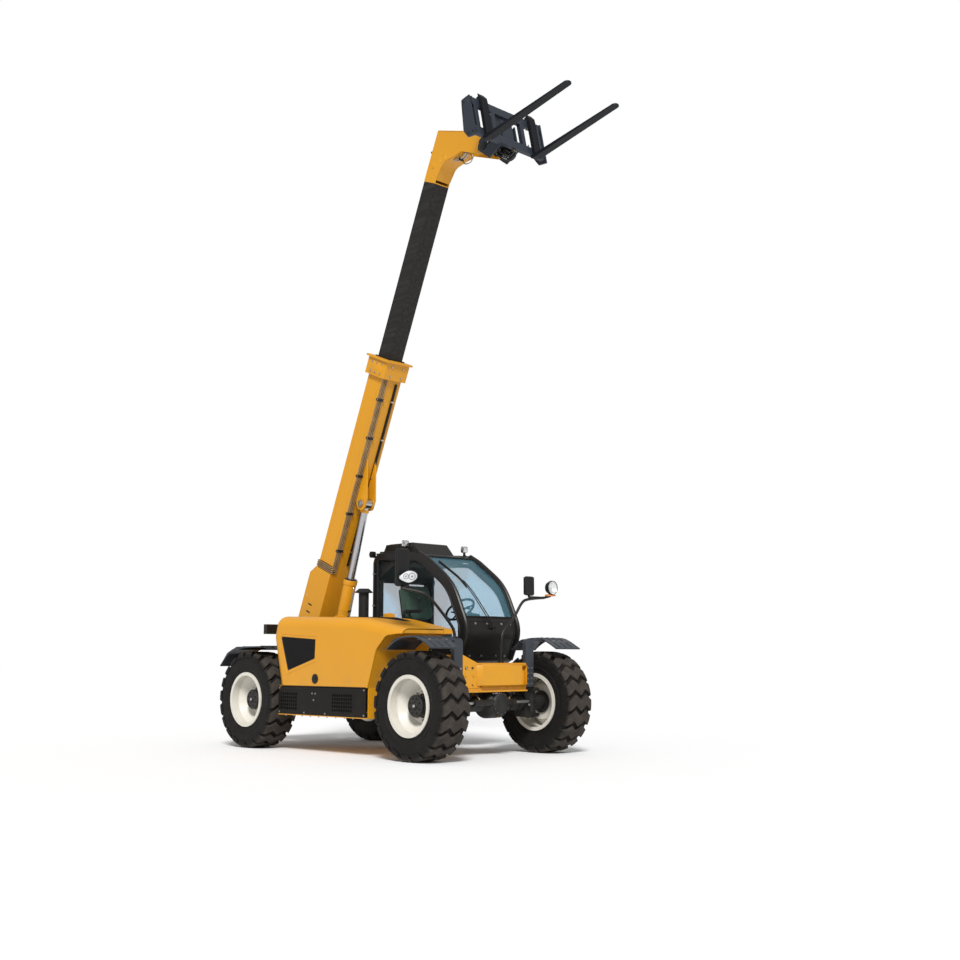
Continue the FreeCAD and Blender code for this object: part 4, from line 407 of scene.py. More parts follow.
print("stage")
stage = {"floorSize": 90, "lens": 46.73, "eye": (11.1716, -10.0217, 1.1076), "yaw": 135.63, "rise": 8.08,
         "worldLevel": 0.48, "keyPower": 3.4, "keyFrom": (0.85, -0.75, 1.0), "keySpread": 14, "glossyShare": 0.15}


def buildStage():
    bm = bmesh.new()
    bmesh.ops.create_grid(bm, x_segments=1, y_segments=1, size=stage["floorSize"])
    mesh = bpy.data.meshes.new("floor")
    bm.to_mesh(mesh)
    bm.free()
    floor = bpy.data.objects.new("floor", mesh)
    bpy.context.collection.objects.link(floor)
    finish = Finish("floorFinish")
    finish.set("Base Color", rgb(0.86, 0.86, 0.86))
    finish.set("Roughness", 0.9)
    mesh.materials.append(finish.material)
    world = bpy.data.worlds.new("sky")
    world.use_nodes = True
    bpy.context.scene.world = world
    tree = world.node_tree
    light = tree.nodes.new("ShaderNodeLightPath")
    shown = tree.nodes.new("ShaderNodeMath")
    shown.operation = "MAXIMUM"
    also = tree.nodes.new("ShaderNodeMath")
    also.operation = "MAXIMUM"
    tree.links.new(light.outputs["Is Camera Ray"], shown.inputs[0])
    tree.links.new(light.outputs["Is Transmission Ray"], shown.inputs[1])
    partly = tree.nodes.new("ShaderNodeMath")
    partly.operation = "MULTIPLY"
    partly.inputs[1].default_value = stage["glossyShare"]
    tree.links.new(light.outputs["Is Glossy Ray"], partly.inputs[0])
    tree.links.new(shown.outputs[0], also.inputs[0])
    tree.links.new(partly.outputs[0], also.inputs[1])
    strength = tree.nodes.new("ShaderNodeMapRange")
    strength.inputs["To Min"].default_value = stage["worldLevel"]
    strength.inputs["To Max"].default_value = 1.0
    tree.links.new(also.outputs[0], strength.inputs["Value"])
    tree.links.new(strength.outputs[0], tree.nodes["Background"].inputs["Strength"])
    tree.nodes["Background"].inputs["Color"].default_value = rgb(1, 1, 1)
    key = bpy.data.lights.new("key", "SUN")
    key.energy = stage["keyPower"]
    key.angle = math.radians(stage["keySpread"])
    keyLamp = bpy.data.objects.new("key", key)
    keyLamp.rotation_euler = (-Vector(stage["keyFrom"])).to_track_quat("-Z", "Y").to_euler()
    bpy.context.collection.objects.link(keyLamp)
    camera = bpy.data.cameras.new("camera")
    camera.lens = stage["lens"]
    camera.clip_end = 300
    eye = bpy.data.objects.new("camera", camera)
    eye.location = stage["eye"]
    yaw, rise = math.radians(stage["yaw"]), math.radians(stage["rise"])
    look = Vector((math.cos(yaw) * math.cos(rise), math.sin(yaw) * math.cos(rise), math.sin(rise)))
    eye.rotation_euler = look.to_track_quat("-Z", "Y").to_euler()
    bpy.context.collection.objects.link(eye)
    bpy.context.scene.camera = eye
    bpy.context.scene.view_settings.view_transform = "Standard"


buildStage()

wheelNames = {"front_left": (frontAxle, 1), "front_right": (frontAxle, -1),
              "rear_left": (rearAxle, 1), "rear_right": (rearAxle, -1)}
wheelBodies = {"front_left": "wheel_fl", "front_right": "wheel_fr", "rear_left": "wheel_rl", "rear_right": "wheel_rr"}
rubbers = {axle: tyreRubber("tyreRubber" + label, axle) for label, axle in (("Front", frontAxle), ("Rear", rearAxle))}
rims = {axle: wheelPaint("wheelPaint" + label, axle) for label, axle in (("Front", frontAxle), ("Rear", rearAxle))}

nodeFinishes = {
    "chassis_frame": yellow, "counterweight": yellow, "front_axle": casting, "rear_axle": casting,
    "knuckle_left": casting, "knuckle_right": casting, "engine_block": engineMetal, "engine_cowl": yellow,
    "hood": yellow, "hood_grilles": plastic, "engine_side_panel": panelPaint, "hydraulic_tank": black,
    "cab_steps": black, "front_fenders": fenderPlastic, "rear_fenders": fenderPlastic, "cab_frame": black,
    "cab_roof_guard": black, "windscreen": screenGlass, "cab_windows": windowGlass, "cab_door": black,
    "cab_door_glass": windowGlass, "seat": cloth, "cab_controls": plastic, "mirrors": plastic,
    "work_lamps": plastic, "air_intake": plastic, "tail_lamp_bar": black, "boom_outer": yellow,
    "boom_pipes": pipePaint, "boom_inner": innerBoomPaint, "boom_head": yellow, "lift_barrel": yellow,
    "lift_rod": chrome, "tilt_barrel": black, "tilt_rod": chrome, "carriage": carriagePaint,
    "forks": forkPaint, "carriage_hoses": rubber,
}
for wheel, (axleX, side) in wheelNames.items():
    nodeFinishes["tyre_" + wheel] = rubbers[axleX]
    nodeFinishes["wheel_" + wheel] = rims[axleX]
for nodeName, finish in nodeFinishes.items():
    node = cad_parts[nodeName]
    for slotNumber in range(max(1, len(node.material_slots))):
        if not node.material_slots:
            node.data.materials.append(finish)
        else:
            node.material_slots[slotNumber].material = finish


print("wheels")
tyre = {"lugs": 20, "treadRadius": 0.5868, "lugDepth": 0.037, "lugWidth": 0.118, "halfWidth": 0.2045,
        "zigzag": ((0.0, 0.040), (0.42, -0.034), (0.80, 0.030), (1.0, 0.052))}
wheel = {"nuts": 10, "nutCircle": 0.157, "nutRadius": 0.012, "discFace": -0.0295, "capFace": 0.0953}


def between(stops, share):
    for first, second in zip(stops, stops[1:]):
        if share <= second[0] + 1e-6:
            part = (share - first[0]) / (second[0] - first[0])
            return [a + (b - a) * part for a, b in zip(first[1:], second[1:])]


# A lug's skin runs straight over the tread, round the shoulder and down the sidewall
lugPath = ((0.0, 0.0, 1.0, 1.0), (0.6, 0.125, 0.997, 1.0), (0.8, 0.172, 0.988, 1.0),
           (0.9, 0.197, 0.950, 0.75), (1.0, tyre["halfWidth"], 0.87, 0.25))


def addLug(piece, turn):
    made = bmesh.ops.create_grid(piece.bm, x_segments=2, y_segments=20, size=1)
    top = made["verts"]
    faces = list({face for vert in top for face in vert.link_faces})
    under = bmesh.ops.extrude_face_region(piece.bm, geom=faces, use_keep_orig=True)
    base = [item for item in under["geom"] if isinstance(item, bmesh.types.BMVert)]
    for group, low in ((top, False), (base, True)):
        for vert in group:
            share = abs(vert.co.y)
            side = 1 if vert.co.y > 0 else -1
            y, radius, deep = between(lugPath, share)
            radius *= tyre["treadRadius"]
            half = tyre["lugWidth"] / 2 * (1.16 if low else 1.0)
            arc = vert.co.x * half + between(tyre["zigzag"], share)[0]
            if low:
                shoulder = max(0.0, (share - 0.75) / 0.25)
                radius -= tyre["lugDepth"] * deep * (1 - 0.75 * shoulder)
                y -= 0.016 * shoulder * deep
            angle = arc / tyre["treadRadius"] + turn
            vert.co = (radius * math.sin(angle), side * y, radius * math.cos(angle))
    piece.settle(top + base, Matrix.Identity(4), 0)


def buildWheel(name, axleX, side):
    place = Matrix.Translation((axleX, side * wheelSide, axleHeight))
    rubberPiece = Piece("tyreTread_" + name, rubbers[axleX], place=place)
    casing = ((-0.176, 0.3075), (0.176, 0.3075), (0.178, 0.352), (0.190, 0.385), (0.196, 0.392), (0.197, 0.405),
              (0.193, 0.411), (0.199, 0.455), (0.198, 0.495), (0.188, 0.530), (0.168, 0.5465), (0.09, 0.5490),
              (0.0, 0.5495), (-0.09, 0.5490), (-0.168, 0.5465), (-0.188, 0.530), (-0.198, 0.495), (-0.199, 0.455),
              (-0.193, 0.411), (-0.197, 0.405), (-0.196, 0.392), (-0.190, 0.385), (-0.178, 0.352), (-0.176, 0.3075))
    rubberPiece.lathe(casing, (0, 0, 0), (0, 1, 0), 0, 72)
    pitch = math.tau / tyre["lugs"]
    for number in range(tyre["lugs"]):
        addLug(rubberPiece, number * pitch)
    rubberPiece.done(wheelBodies[name], 30, ("tyre_" + name,))

    metal = Piece("wheelNuts_" + name, steel, casting, plastic, place=place)
    face, circle = side * wheel["discFace"], wheel["nutCircle"]
    for number in range(wheel["nuts"]):
        angle = math.tau * number / wheel["nuts"]
        spot = Vector((circle * math.sin(angle), face, circle * math.cos(angle)))
        metal.bolt(spot, (0, side, 0), wheel["nutRadius"], 0)
        metal.rod(spot + Vector((0, side * 0.01, 0)), spot + Vector((0, side * 0.024, 0)), 0.006, finish=0, segments=10)
    cap = side * wheel["capFace"]
    metal.lathe(((0.0, 0.0), (side * 0.014, 0.0), (side * 0.014, 0.030), (side * 0.010, 0.040), (side * 0.0, 0.046)),
                (0, cap, 0), (0, 1, 0), 1, 32)
    metal.lathe(((side * 0.013, 0.0), (side * 0.019, 0.0), (side * 0.018, 0.014), (side * 0.013, 0.019)), (0, cap, 0), (0, 1, 0), 0, 24)
    for number in range(8):
        angle = math.tau * (number + 0.5) / 8
        metal.bolt((0.083 * math.sin(angle), cap, 0.083 * math.cos(angle)), (0, side, 0), 0.008, 1)
    metal.lathe(((side * -0.022, 0.1185), (side * -0.004, 0.1215), (side * 0.0, 0.1185)), (0, cap - side * 0.012, 0),
                (0, 1, 0), 1, 48)
    metal.rod((0.20, face + side * 0.05, 0.13), (0.215, face + side * 0.085, 0.14), 0.005, finish=2, segments=10)
    metal.done(wheelBodies[name], 35)


for wheelName, (axleX, side) in wheelNames.items():
    buildWheel(wheelName, axleX, side)


print("engine bay")
sideGrille = {"face": -1.0945, "outlineLow": ((-1.39, 1.35), (-1.24, 0.95), (-0.72, 1.09)),
              "outlineHigh": ((-1.39, 1.35), (-0.71, 1.31)), "pitch": 0.017, "wire": 0.0028}
sidePanel = {"face": -1.1, "low": 0.437, "high": 0.757, "rear": -1.42, "front": 0.235,
             "vents": ((-1.375, -1.051, 0.488, 0.686), (-0.375, -0.009, 0.488, 0.686))}
fuelCap = {"spot": (-0.70, -1.106, 0.855), "radius": 0.055}


def heightAt(line, x):
    for (x0, z0), (x1, z1) in zip(line, line[1:]):
        if min(x0, x1) - 1e-6 <= x <= max(x0, x1) + 1e-6:
            return z0 + (z1 - z0) * (x - x0) / (x1 - x0)
    return None


def buildSideGrille():
    face, wire = sideGrille["face"], sideGrille["wire"]
    low, high = sideGrille["outlineLow"], sideGrille["outlineHigh"]
    mesh = Piece("hoodGrilleMesh", plastic, black)
    x = low[0][0] + sideGrille["pitch"]
    while x < high[1][0] - 0.012:
        bottom, top = heightAt(low, x), heightAt(high, x)
        if bottom is not None and top - bottom > 0.02:
            mesh.box((x - wire / 2, face - 0.004, bottom + 0.004), (x + wire / 2, face, top - 0.004), 0)
        x += sideGrille["pitch"]
    z = low[1][1] + sideGrille["pitch"]
    while z < low[0][1] - 0.01:
        left = low[0][0] + (low[0][1] - z) / (low[0][1] - low[1][1]) * (low[1][0] - low[0][0])
        right = high[1][0] if z > low[2][1] else low[1][0] + (z - low[1][1]) / (low[2][1] - low[1][1]) * (low[2][0] - low[1][0])
        if z < heightAt(high, left + 0.01) - 0.01:
            mesh.box((left + 0.006, face - 0.003, z - wire / 2), (right - 0.012, face, z + wire / 2), 0)
        z += sideGrille["pitch"]
    corners = (low[0], low[1], low[2], high[1])
    for (x0, z0), (x1, z1) in zip(corners, corners[1:] + corners[:1]):
        mesh.rod((x0, face - 0.001, z0), (x1, face - 0.001, z1), 0.006, finish=1, segments=12)
    mesh.done("engine_hood")


def buildHoodTrim():
    trim = Piece("hoodTrim", plastic, steel, yellow, black)
    spot = Vector(fuelCap["spot"])
    radius = fuelCap["radius"]
    trim.lathe(((0.0, 0.0), (0.010, 0.0), (0.012, radius * 0.5), (0.009, radius * 0.8), (0.003, radius), (0.0, radius * 1.04)),
               spot, (0, -1, 0), 0, 40)
    trim.box((spot.x - 0.034, spot.y - 0.019, spot.z - 0.007), (spot.x + 0.034, spot.y - 0.008, spot.z + 0.007), 0, 0.003)
    # Fold that frames the side grille
    fold = ((-1.405, 1.385), (-1.255, 0.905), (-0.705, 1.055), (-0.665, 1.345))
    for (x0, z0), (x1, z1) in zip(fold, fold[1:] + fold[:1]):
        trim.rod((x0, -1.0997, z0), (x1, -1.0997, z1), 0.0045, finish=2, segments=10)
    # Rubber strip on the lower edge and the fold that frames the grille
    trim.box((-1.43, -1.1025, 0.7655), (0.235, -1.0995, 0.7715), 3)
    trim.done("engine_hood")


# Slatted strip let into the hood top along its inner edge
def buildTopGrille():
    top = Piece("hoodTopGrille", plastic, black)
    line = ((-0.52, 1.5735), (0.07, 1.5565), (0.30, 1.5135))
    for (x0, z0), (x1, z1) in zip(line, line[1:]):
        outer0, outer1 = (-0.80, -0.78) if x1 < 0.2 else (-0.78, -0.60)
        top.slab([(x0, outer0, z0 - 0.004), (x0, -0.500, z0 - 0.004), (x1, -0.500, z1 - 0.004), (x1, outer1, z1 - 0.004)], (0, 0, 0.007), 0, 0.002)
        count = int((x1 - x0) / 0.024)
        for number in range(count):
            share = (number + 0.5) / count
            x, z = x0 + (x1 - x0) * share, z0 + (z1 - z0) * share
            top.box((x - 0.004, outer0 + (outer1 - outer0) * share + 0.012, z - 0.002), (x + 0.004, -0.508, z + 0.0065), 1)
    top.done("engine_hood")


def buildSidePanel():
    panel = Piece("sidePanelVents", plastic, black, steel, yellow)
    face = sidePanel["face"]
    for rear, front, low, high in sidePanel["vents"]:
        panel.box((rear - 0.012, face + 0.0125, low - 0.012), (front + 0.012, face + 0.0145, high + 0.012), 0)
        panel.box((rear - 0.012, face + 0.0165, low - 0.012), (front + 0.012, face + 0.0185, high + 0.012), 0)
    for x, z in ((-0.75, 0.685), (-0.69, 0.685), (-0.72, 0.61), (-1.395, 0.74), (-1.395, 0.46), (0.205, 0.74), (0.205, 0.46),
                 (-0.9, 0.46), (-0.5, 0.46)):
        panel.bolt((x, face, z), (0, -1, 0), 0.0075, 2)
    for number in range(9):
        x = -1.3 + number * 0.16
        panel.rod((x, -1.07, 0.4255), (x, -1.07, 0.412), 0.008, finish=2, segments=6)
    panel.done("machine")


buildSideGrille()
buildHoodTrim()
buildTopGrille()
buildSidePanel()


print("cab")
cab = {"right": 0.13, "left": 1.05, "pillarTube": 0.030, "screenLow": 1.58, "screenTop": -0.225, "screenSides": (0.19, 0.99),
       "profile": ((-1.15, 1.02, 0), (-1.15, 2.42, 0.13), (-0.27, 2.375, 0.44), (0.30, 1.98, 0.704),
                   (0.57, 1.42, 0.293), (0.40, 1.06, 0.045), (0.315, 1.02, 0)),
       "window": ((-1.064, 1.29, 0.03), (-1.064, 2.333, 0.05), (-0.297, 2.289, 0.36), (0.229, 1.92, 0.62),
                  (0.474, 1.41, 0.2), (0.425, 1.29, 0.03))}
wiper = {"foot": (0.545, 0.566, 1.453), "armTop": 2.03, "bladeLow": 1.93, "bladeTop": 2.255, "bladeSides": (0.372, 0.292)}


# Corners of (x, z, radius) with each corner drawn as an arc
def arcLine(corners, closed=False, steps=7):
    line = []
    count = len(corners)
    for number, (x, z, radius) in enumerate(corners):
        spot = Vector((x, z))
        if not radius or (not closed and number in (0, count - 1)):
            line.append(spot)
            continue
        before = (Vector(corners[number - 1][:2]) - spot).normalized()
        after = (Vector(corners[(number + 1) % count][:2]) - spot).normalized()
        half = before.angle(after) / 2
        centre = spot + (before + after).normalized() * radius / math.sin(half)
        start = spot + before * radius / math.tan(half) - centre
        end = spot + after * radius / math.tan(half) - centre
        for step in range(steps + 1):
            line.append(centre + start.lerp(end, step / steps).normalized() * radius)
    return line + line[:1] if closed else line


cabLine = arcLine(cab["profile"])


# Where the cab's front skin lies at a height, moved outwards by a lift
def skinSpot(y, z, lift=0.0):
    for first, second in zip(cabLine, cabLine[1:]):
        if first.x > -0.9 and second.y <= z <= first.y:
            share = (first.y - z) / (first.y - second.y)
            spot = first.lerp(second, share)
            run = (second - first).normalized()
            return Vector((spot.x - run.y * lift, y, spot.y + run.x * lift))


def skinRun(y, high, low, lift=0.0, count=14):
    return [skinSpot(y, high + (low - high) * number / count, lift) for number in range(count + 1)]


def buildCabTrim():
    trim = Piece("cabTrim", black, rubber, steel, plastic, palePaint, yellow)
    for y in (cab["right"] + 0.026, cab["left"] - 0.026):
        trim.pipe(skinRun(y, 2.366, 1.08, 0.006, 18), cab["pillarTube"], 0)
    for side, y in ((-1, cab["right"]), (1, cab["left"])):
        loop = [Vector((spot.x, y + side * 0.001, spot.y)) for spot in arcLine(cab["window"], True)]
        if side < 0:
            trim.pipe(loop, 0.011, 1)
    first, last = cab["screenSides"]
    low, high = cab["screenLow"], 2.335
    trim.pipe([skinSpot(first + 0.004, low, 0.002), skinSpot((first + last) / 2, low, 0.004), skinSpot(last - 0.004, low, 0.002)], 0.010, 1)
    trim.pipe([skinSpot(first + 0.004, high, 0.002), skinSpot((first + last) / 2, high, 0.004), skinSpot(last - 0.004, high, 0.002)], 0.010, 1)
    for y in (first + 0.002, last - 0.002):
        trim.pipe(skinRun(y, high, low, 0.003, 16), 0.010, 1)
    # Middle rail and lower panel of the nose, with its screws
    for y in (0.316, 0.509, 0.75, 0.90):
        for z in (1.50, 1.12):
            spot = skinSpot(y, z, 0.0)
            trim.bolt(spot, skinSpot(y, z, 0.1) - spot, 0.010, 2)
    for z in (1.525, 1.105):
        trim.pipe([skinSpot(0.17 + 0.84 * number / 4, z, 0.0) for number in range(5)], 0.004, 1)
    trim.pipe([skinSpot(0.235, 1.50 - 0.04 * number, 0.002) for number in range(11)], 0.004, 1)
    trim.pipe([skinSpot(0.955, 1.50 - 0.04 * number, 0.002) for number in range(11)], 0.004, 1)
    # Two arms of the wiper run side by side up to the blade
    foot = Vector(wiper["foot"])
    for offset in (0.0, 0.040):
        path = [foot + Vector((0, offset - 0.02, 0))]
        for number in range(1, 9):
            share = number / 8
            z = foot.z + (wiper["armTop"] - offset * 0.6 - foot.z) * share
            path.append(skinSpot(foot.y + offset - 0.02 + (0.349 - foot.y) * share, z, 0.036 - 0.010 * share))
        trim.pipe(path, 0.0060, 0)
        trim.ball(path[0], 0.012, 0)
    (lowSide, topSide), (low, top) = wiper["bladeSides"], (wiper["bladeLow"], wiper["bladeTop"])
    blade = [skinSpot(lowSide + (topSide - lowSide) * number / 8, low + (top - low) * number / 8, 0.020) for number in range(9)]
    trim.pipe(blade, 0.010, 0)
    trim.pipe([spot + Vector((-0.010, 0, -0.010)) for spot in blade], 0.005, 1)
    trim.rod(skinSpot(foot.y, foot.z, -0.01), skinSpot(foot.y, foot.z, 0.05), 0.024, 0.016, 3, 20, 0.003)
    trim.rod(skinSpot(foot.y + 0.045, foot.z + 0.004, -0.01), skinSpot(foot.y + 0.045, foot.z + 0.004, 0.04), 0.015, 0.012, 3, 20, 0.002)
    # Drain hoses down the rear corner
    for y, x in ((0.118, -1.13), (0.106, -1.105)):
        trim.pipe([(x, y, 2.30), (x, y, 1.9), (x, y, 1.5), (x, y, 1.12), (x - 0.03, y, 1.05)], 0.007, 1)
        for z in (1.35, 1.75, 2.15):
            trim.box((x - 0.014, y - 0.009, z - 0.008), (x + 0.014, 0.132, z + 0.008), 2, 0.002)
    # Roof guard bars, beacon stub and gutter along the right edge
    for number in range(6):
        x = -0.93 + number * 0.075
        trim.box((x - 0.010, 0.26, 2.5185), (x + 0.010, 0.77, 2.530), 4 if number > 3 else 0, 0.004)
    for y in (0.25, 0.78):
        trim.box((-0.97, y - 0.012, 2.516), (-0.52, y + 0.012, 2.526), 0, 0.004)
    trim.rod((-1.00, 0.92, 2.40), (-1.00, 0.92, 2.50), 0.020, finish=3, segments=20, bevel=0.003)
    trim.rod((-1.00, 0.92, 2.395), (-1.00, 0.92, 2.412), 0.040, finish=3, segments=24, bevel=0.003)
    for y in (cab["right"] + 0.012, cab["left"] - 0.012):
        trim.pipe([(-1.03, y, 2.424), (-0.80, y, 2.412), (-0.55, y, 2.399), (-0.33, y, 2.378)], 0.009, 0)
    # Base rail with its rubber mounts
    trim.box((-1.13, 0.128, 1.055), (0.37, 0.136, 1.075), 2, 0.002)
    for x in (-1.05, -0.55, -0.05, 0.30):
        for y in (0.20, 0.98):
            trim.rod((x, y, 0.985), (x, y, 1.022), 0.040, 0.034, 1, 24, 0.004)
            trim.bolt((x, y, 0.985), (0, 0, -1), 0.012, 2)
        trim.bolt((x, 0.13, 1.18), (0, -1, 0), 0.009, 2)
    trim.done("machine")

    # Headliner, thicker over the seat, with the lining of the two rear posts
    lining = Piece("cabLining", plastic)
    lining.slab([(-1.10, 0.165, 2.04), (-1.10, 0.165, 2.36), (-0.36, 0.165, 2.33), (-0.46, 0.165, 2.27), (-0.80, 0.165, 2.24),
                 (-0.98, 0.165, 2.14)], (0, 0.85, 0), 0, 0.008)
    for y in (0.165, 0.955):
        lining.box((-1.115, y, 1.30), (-1.055, y + 0.06, 2.10), 0, 0.008)
    lining.done("machine")

    door = Piece("doorTrim", black, rubber, steel, plastic)
    face = cab["left"]
    door.box((0.12, face - 0.002, 1.335), (0.27, face + 0.012, 1.385), 3, 0.006)
    door.pipe([(0.13, face, 1.36), (0.14, face + 0.032, 1.36), (0.20, face + 0.034, 1.36), (0.25, face + 0.032, 1.36), (0.26, face, 1.36)], 0.008, 3)
    door.rod((0.30, face - 0.002, 1.30), (0.30, face + 0.012, 1.30), 0.017, finish=2, segments=20, bevel=0.002)
    doorLoop = [Vector((spot.x * 0.955 - 0.03, face + 0.001, spot.y * 0.955 + 0.083)) for spot in arcLine(cab["window"], True)]
    door.pipe(doorLoop, 0.009, 1)
    for z in (1.16, 1.25):
        door.pipe([(-0.90, face + 0.001, z), (-0.3, face + 0.001, z), (0.30, face + 0.001, z)], 0.004, 0)
    for x in (-0.95, 0.34):
        door.bolt((x, face, 1.20), (0, 1, 0), 0.009, 2)
    door.done("door")


buildCabTrim()


print("cab inside")
seat = {"middle": 0.59, "rear": -0.85, "cushionTop": 1.47, "backTop": 2.05, "wide": 0.47}
steering = {"hub": (-0.027, 0.59, 1.685), "lean": 50, "rim": 0.188, "bar": 0.0145}


# A stuffed block: a rounded box with a crown and sewn channels along one of its sides
def cushion(piece, place, size, crown, channels, depth, finish=0, power=0.28):
    made = bmesh.ops.create_uvsphere(piece.bm, u_segments=96, v_segments=48, radius=1)
    half = Vector(size) / 2
    for vert in made["verts"]:
        flat = math.hypot(vert.co.x, vert.co.y)
        ring = math.copysign(abs(flat) ** power, 1) if flat > 1e-6 else 0.0
        turnX = math.copysign(abs(vert.co.x / flat) ** power, vert.co.x) if flat > 1e-6 else 0.0
        turnY = math.copysign(abs(vert.co.y / flat) ** power, vert.co.y) if flat > 1e-6 else 0.0
        z = math.copysign(abs(vert.co.z) ** power, vert.co.z)
        x, y = turnX * ring, turnY * ring
        swell = crown * (1 - min(1.0, x * x)) * (1 - min(1.0, y * y * 0.8))
        groove = sum(math.exp(-((x - channel) / 0.035) ** 2) for channel in channels) * depth
        groove += depth * 0.8 * (math.exp(-((y - 0.62) / 0.04) ** 2) + math.exp(-((y + 0.62) / 0.04) ** 2))
        bolster = 0.012 * max(0.0, abs(y) - 0.62) / 0.38
        vert.co = (x * half.x, y * half.y, z * half.z + (swell - groove + bolster if z > 0 else 0.0))
    piece.settle(made["verts"], place, finish)


def buildSeat():
    y, x, wide = seat["middle"], seat["rear"], seat["wide"]
    pad = Piece("seatCushions", cloth)
    cushion(pad, Matrix.Translation((x + 0.285, y, seat["cushionTop"] - 0.072)), (0.37, wide * 0.99, 0.115), 0.004, (-0.5, 0.0, 0.5), 0.006)
    lean = math.radians(78)
    back = Matrix.Translation((x + 0.0, y, (seat["cushionTop"] + seat["backTop"]) / 2 + 0.03)) @ Matrix.Rotation(lean, 4, "Y")
    cushion(pad, back, (0.43, wide * 0.96, 0.085), 0.004, (-0.55, -0.1, 0.35), 0.006)
    made = pad.done("machine", 60, ("seat",))
    frameWork = Piece("seatFrame", plastic, black, steel, cloth)
    frameWork.box((x + 0.03, y - wide * 0.46, seat["cushionTop"] - 0.15), (x + 0.45, y + wide * 0.46, seat["cushionTop"] - 0.118), 0, 0.01)
    frameWork.box((x + 0.06, y - 0.16, 1.10), (x + 0.40, y + 0.16, 1.16), 1, 0.006)
    for number in range(7):
        z = 1.155 + number * 0.026
        frameWork.box((x + 0.06 + 0.006 * (number % 2), y - 0.17 + 0.008 * (number % 2), z), (x + 0.39 - 0.006 * (number % 2), y + 0.17 - 0.008 * (number % 2), z + 0.018), 0, 0.006)
    frameWork.box((x + 0.0, y - 0.10, 1.067), (x + 0.44, y - 0.07, 1.10), 2, 0.004)
    frameWork.box((x + 0.0, y + 0.07, 1.067), (x + 0.44, y + 0.10, 1.10), 2, 0.004)
    frameWork.box((x - 0.075, y - wide * 0.42, 1.46), (x - 0.035, y + wide * 0.42, 1.96), 0, 0.014, ((0, 1, 0), -11))
    for side in (-1, 1):
        arm = y + side * (wide / 2 - 0.012)
        frameWork.box((x + 0.02, arm - 0.012, 1.56), (x + 0.05, arm + 0.012, 1.68), 1, 0.004)
    frameWork.box((x + 0.02, y - wide / 2 + 0.002, 1.655), (x + 0.33, y - wide / 2 + 0.055, 1.70), 0, 0.016)
    frameWork.rod((x + 0.29, y - wide / 2 + 0.03, 1.69), (x + 0.30, y - wide / 2 + 0.03, 1.80), 0.013, 0.010, 0, 16)
    frameWork.ball((x + 0.302, y - wide / 2 + 0.03, 1.82), 0.026, 0, (0.8, 0.8, 1.3))
    frameWork.done("machine")


def buildControls():
    hub = Vector(steering["hub"])
    lean = math.radians(steering["lean"])
    axis = Vector((-math.cos(lean), 0, math.sin(lean)))
    across = Vector((0, 1, 0))
    along = axis.cross(across)
    controls = Piece("cabControls", plastic, black, steel, lensGlass, amberLens)
    bar, rim = steering["bar"], steering["rim"]
    ring = [(bar * math.sin(math.tau * n / 16), rim + bar * math.cos(math.tau * n / 16)) for n in range(17)]
    controls.lathe(ring, hub, axis, 0, 56)
    for turn in (90, 210, 330):
        out = across * math.cos(math.radians(turn)) + along * math.sin(math.radians(turn))
        controls.rod(hub - axis * 0.012 + out * 0.03, hub + out * rim, 0.014, 0.009, 0, 16)
    controls.lathe(((-0.02, 0.0), (-0.02, 0.045), (0.004, 0.052), (0.014, 0.040), (0.018, 0.0)), hub, axis, 0, 40)
    controls.ball(hub + across * 0.165 + axis * 0.035, 0.022, 0, (1, 1, 1.1))
    controls.rod(hub - axis * 0.02, hub - axis * 0.17, 0.030, 0.040, 0, 28)
    controls.rod(hub - axis * 0.17, hub - axis * 0.30, 0.048, 0.055, 0, 28)
    for side in (-1, 1):
        start = hub - axis * 0.07
        controls.rod(start, start + across * side * 0.15 + axis * 0.02, 0.006, finish=0, segments=12)
        controls.rod(start + across * side * 0.12 + axis * 0.016, start + across * side * 0.175 + axis * 0.024, 0.011, 0.009, 0, 14)
    x, y = 0.165, seat["middle"]
    controls.slab([(x - 0.115, y - 0.117, 1.07), (x + 0.115, y - 0.117, 1.07), (x + 0.075, y - 0.117, 1.60),
                   (x - 0.02, y - 0.117, 1.622), (x - 0.115, y - 0.117, 1.565)], (0, 0.234, 0), 0, 0.012)
    controls.box((x - 0.02, y - 0.100, 1.585), (x + 0.055, y + 0.100, 1.632), 1, 0.006, ((0, 1, 0), 12))
    controls.box((x - 0.108, y - 0.070, 1.568), (x - 0.035, y + 0.070, 1.598), 3, 0.004, ((0, 1, 0), -38))
    for number in range(5):
        controls.box((x - 0.119, y - 0.085 + number * 0.037, 1.42), (x - 0.112, y - 0.061 + number * 0.037, 1.455), 4 if number == 2 else 2, 0.002)
    for side in (-1, 1):
        controls.box((x - 0.15, y + side * 0.075 - 0.035, 1.115), (x - 0.135, y + side * 0.075 + 0.035, 1.20), 1, 0.004, ((0, 1, 0), -35))
        controls.rod((x - 0.142, y + side * 0.075, 1.15), (x - 0.09, y + side * 0.075, 1.13), 0.008, finish=2, segments=12)
    controls.done("machine", 35, ("cab_controls",))


buildSeat()
buildControls()


print("mirrors and lamps")
mirrorSides = (
    {"side": 1, "arm": ((0.92, 0.345, 1.040), (0.92, 0.345, 1.370), (0.92, 0.571, 1.564), (0.92, 0.725, 1.790), (0.92, 1.087, 1.814)),
     "mirror": (0.895, 0.825, 0.230), "lamp": (0.955, 1.130), "round": True, "wide": 0.155},
    {"side": -1, "arm": ((1.145, 0.600, 1.310), (1.145, 0.600, 1.410), (1.070, 0.950, 1.800), (0.870, 1.130, 1.850)),
     "mirror": (0.830, 1.120, 0.415), "lamp": (0.900, 1.090), "round": False, "wide": 0.188})
mirrorSize = {"tube": 0.017, "deep": 0.05, "lamp": 0.085}


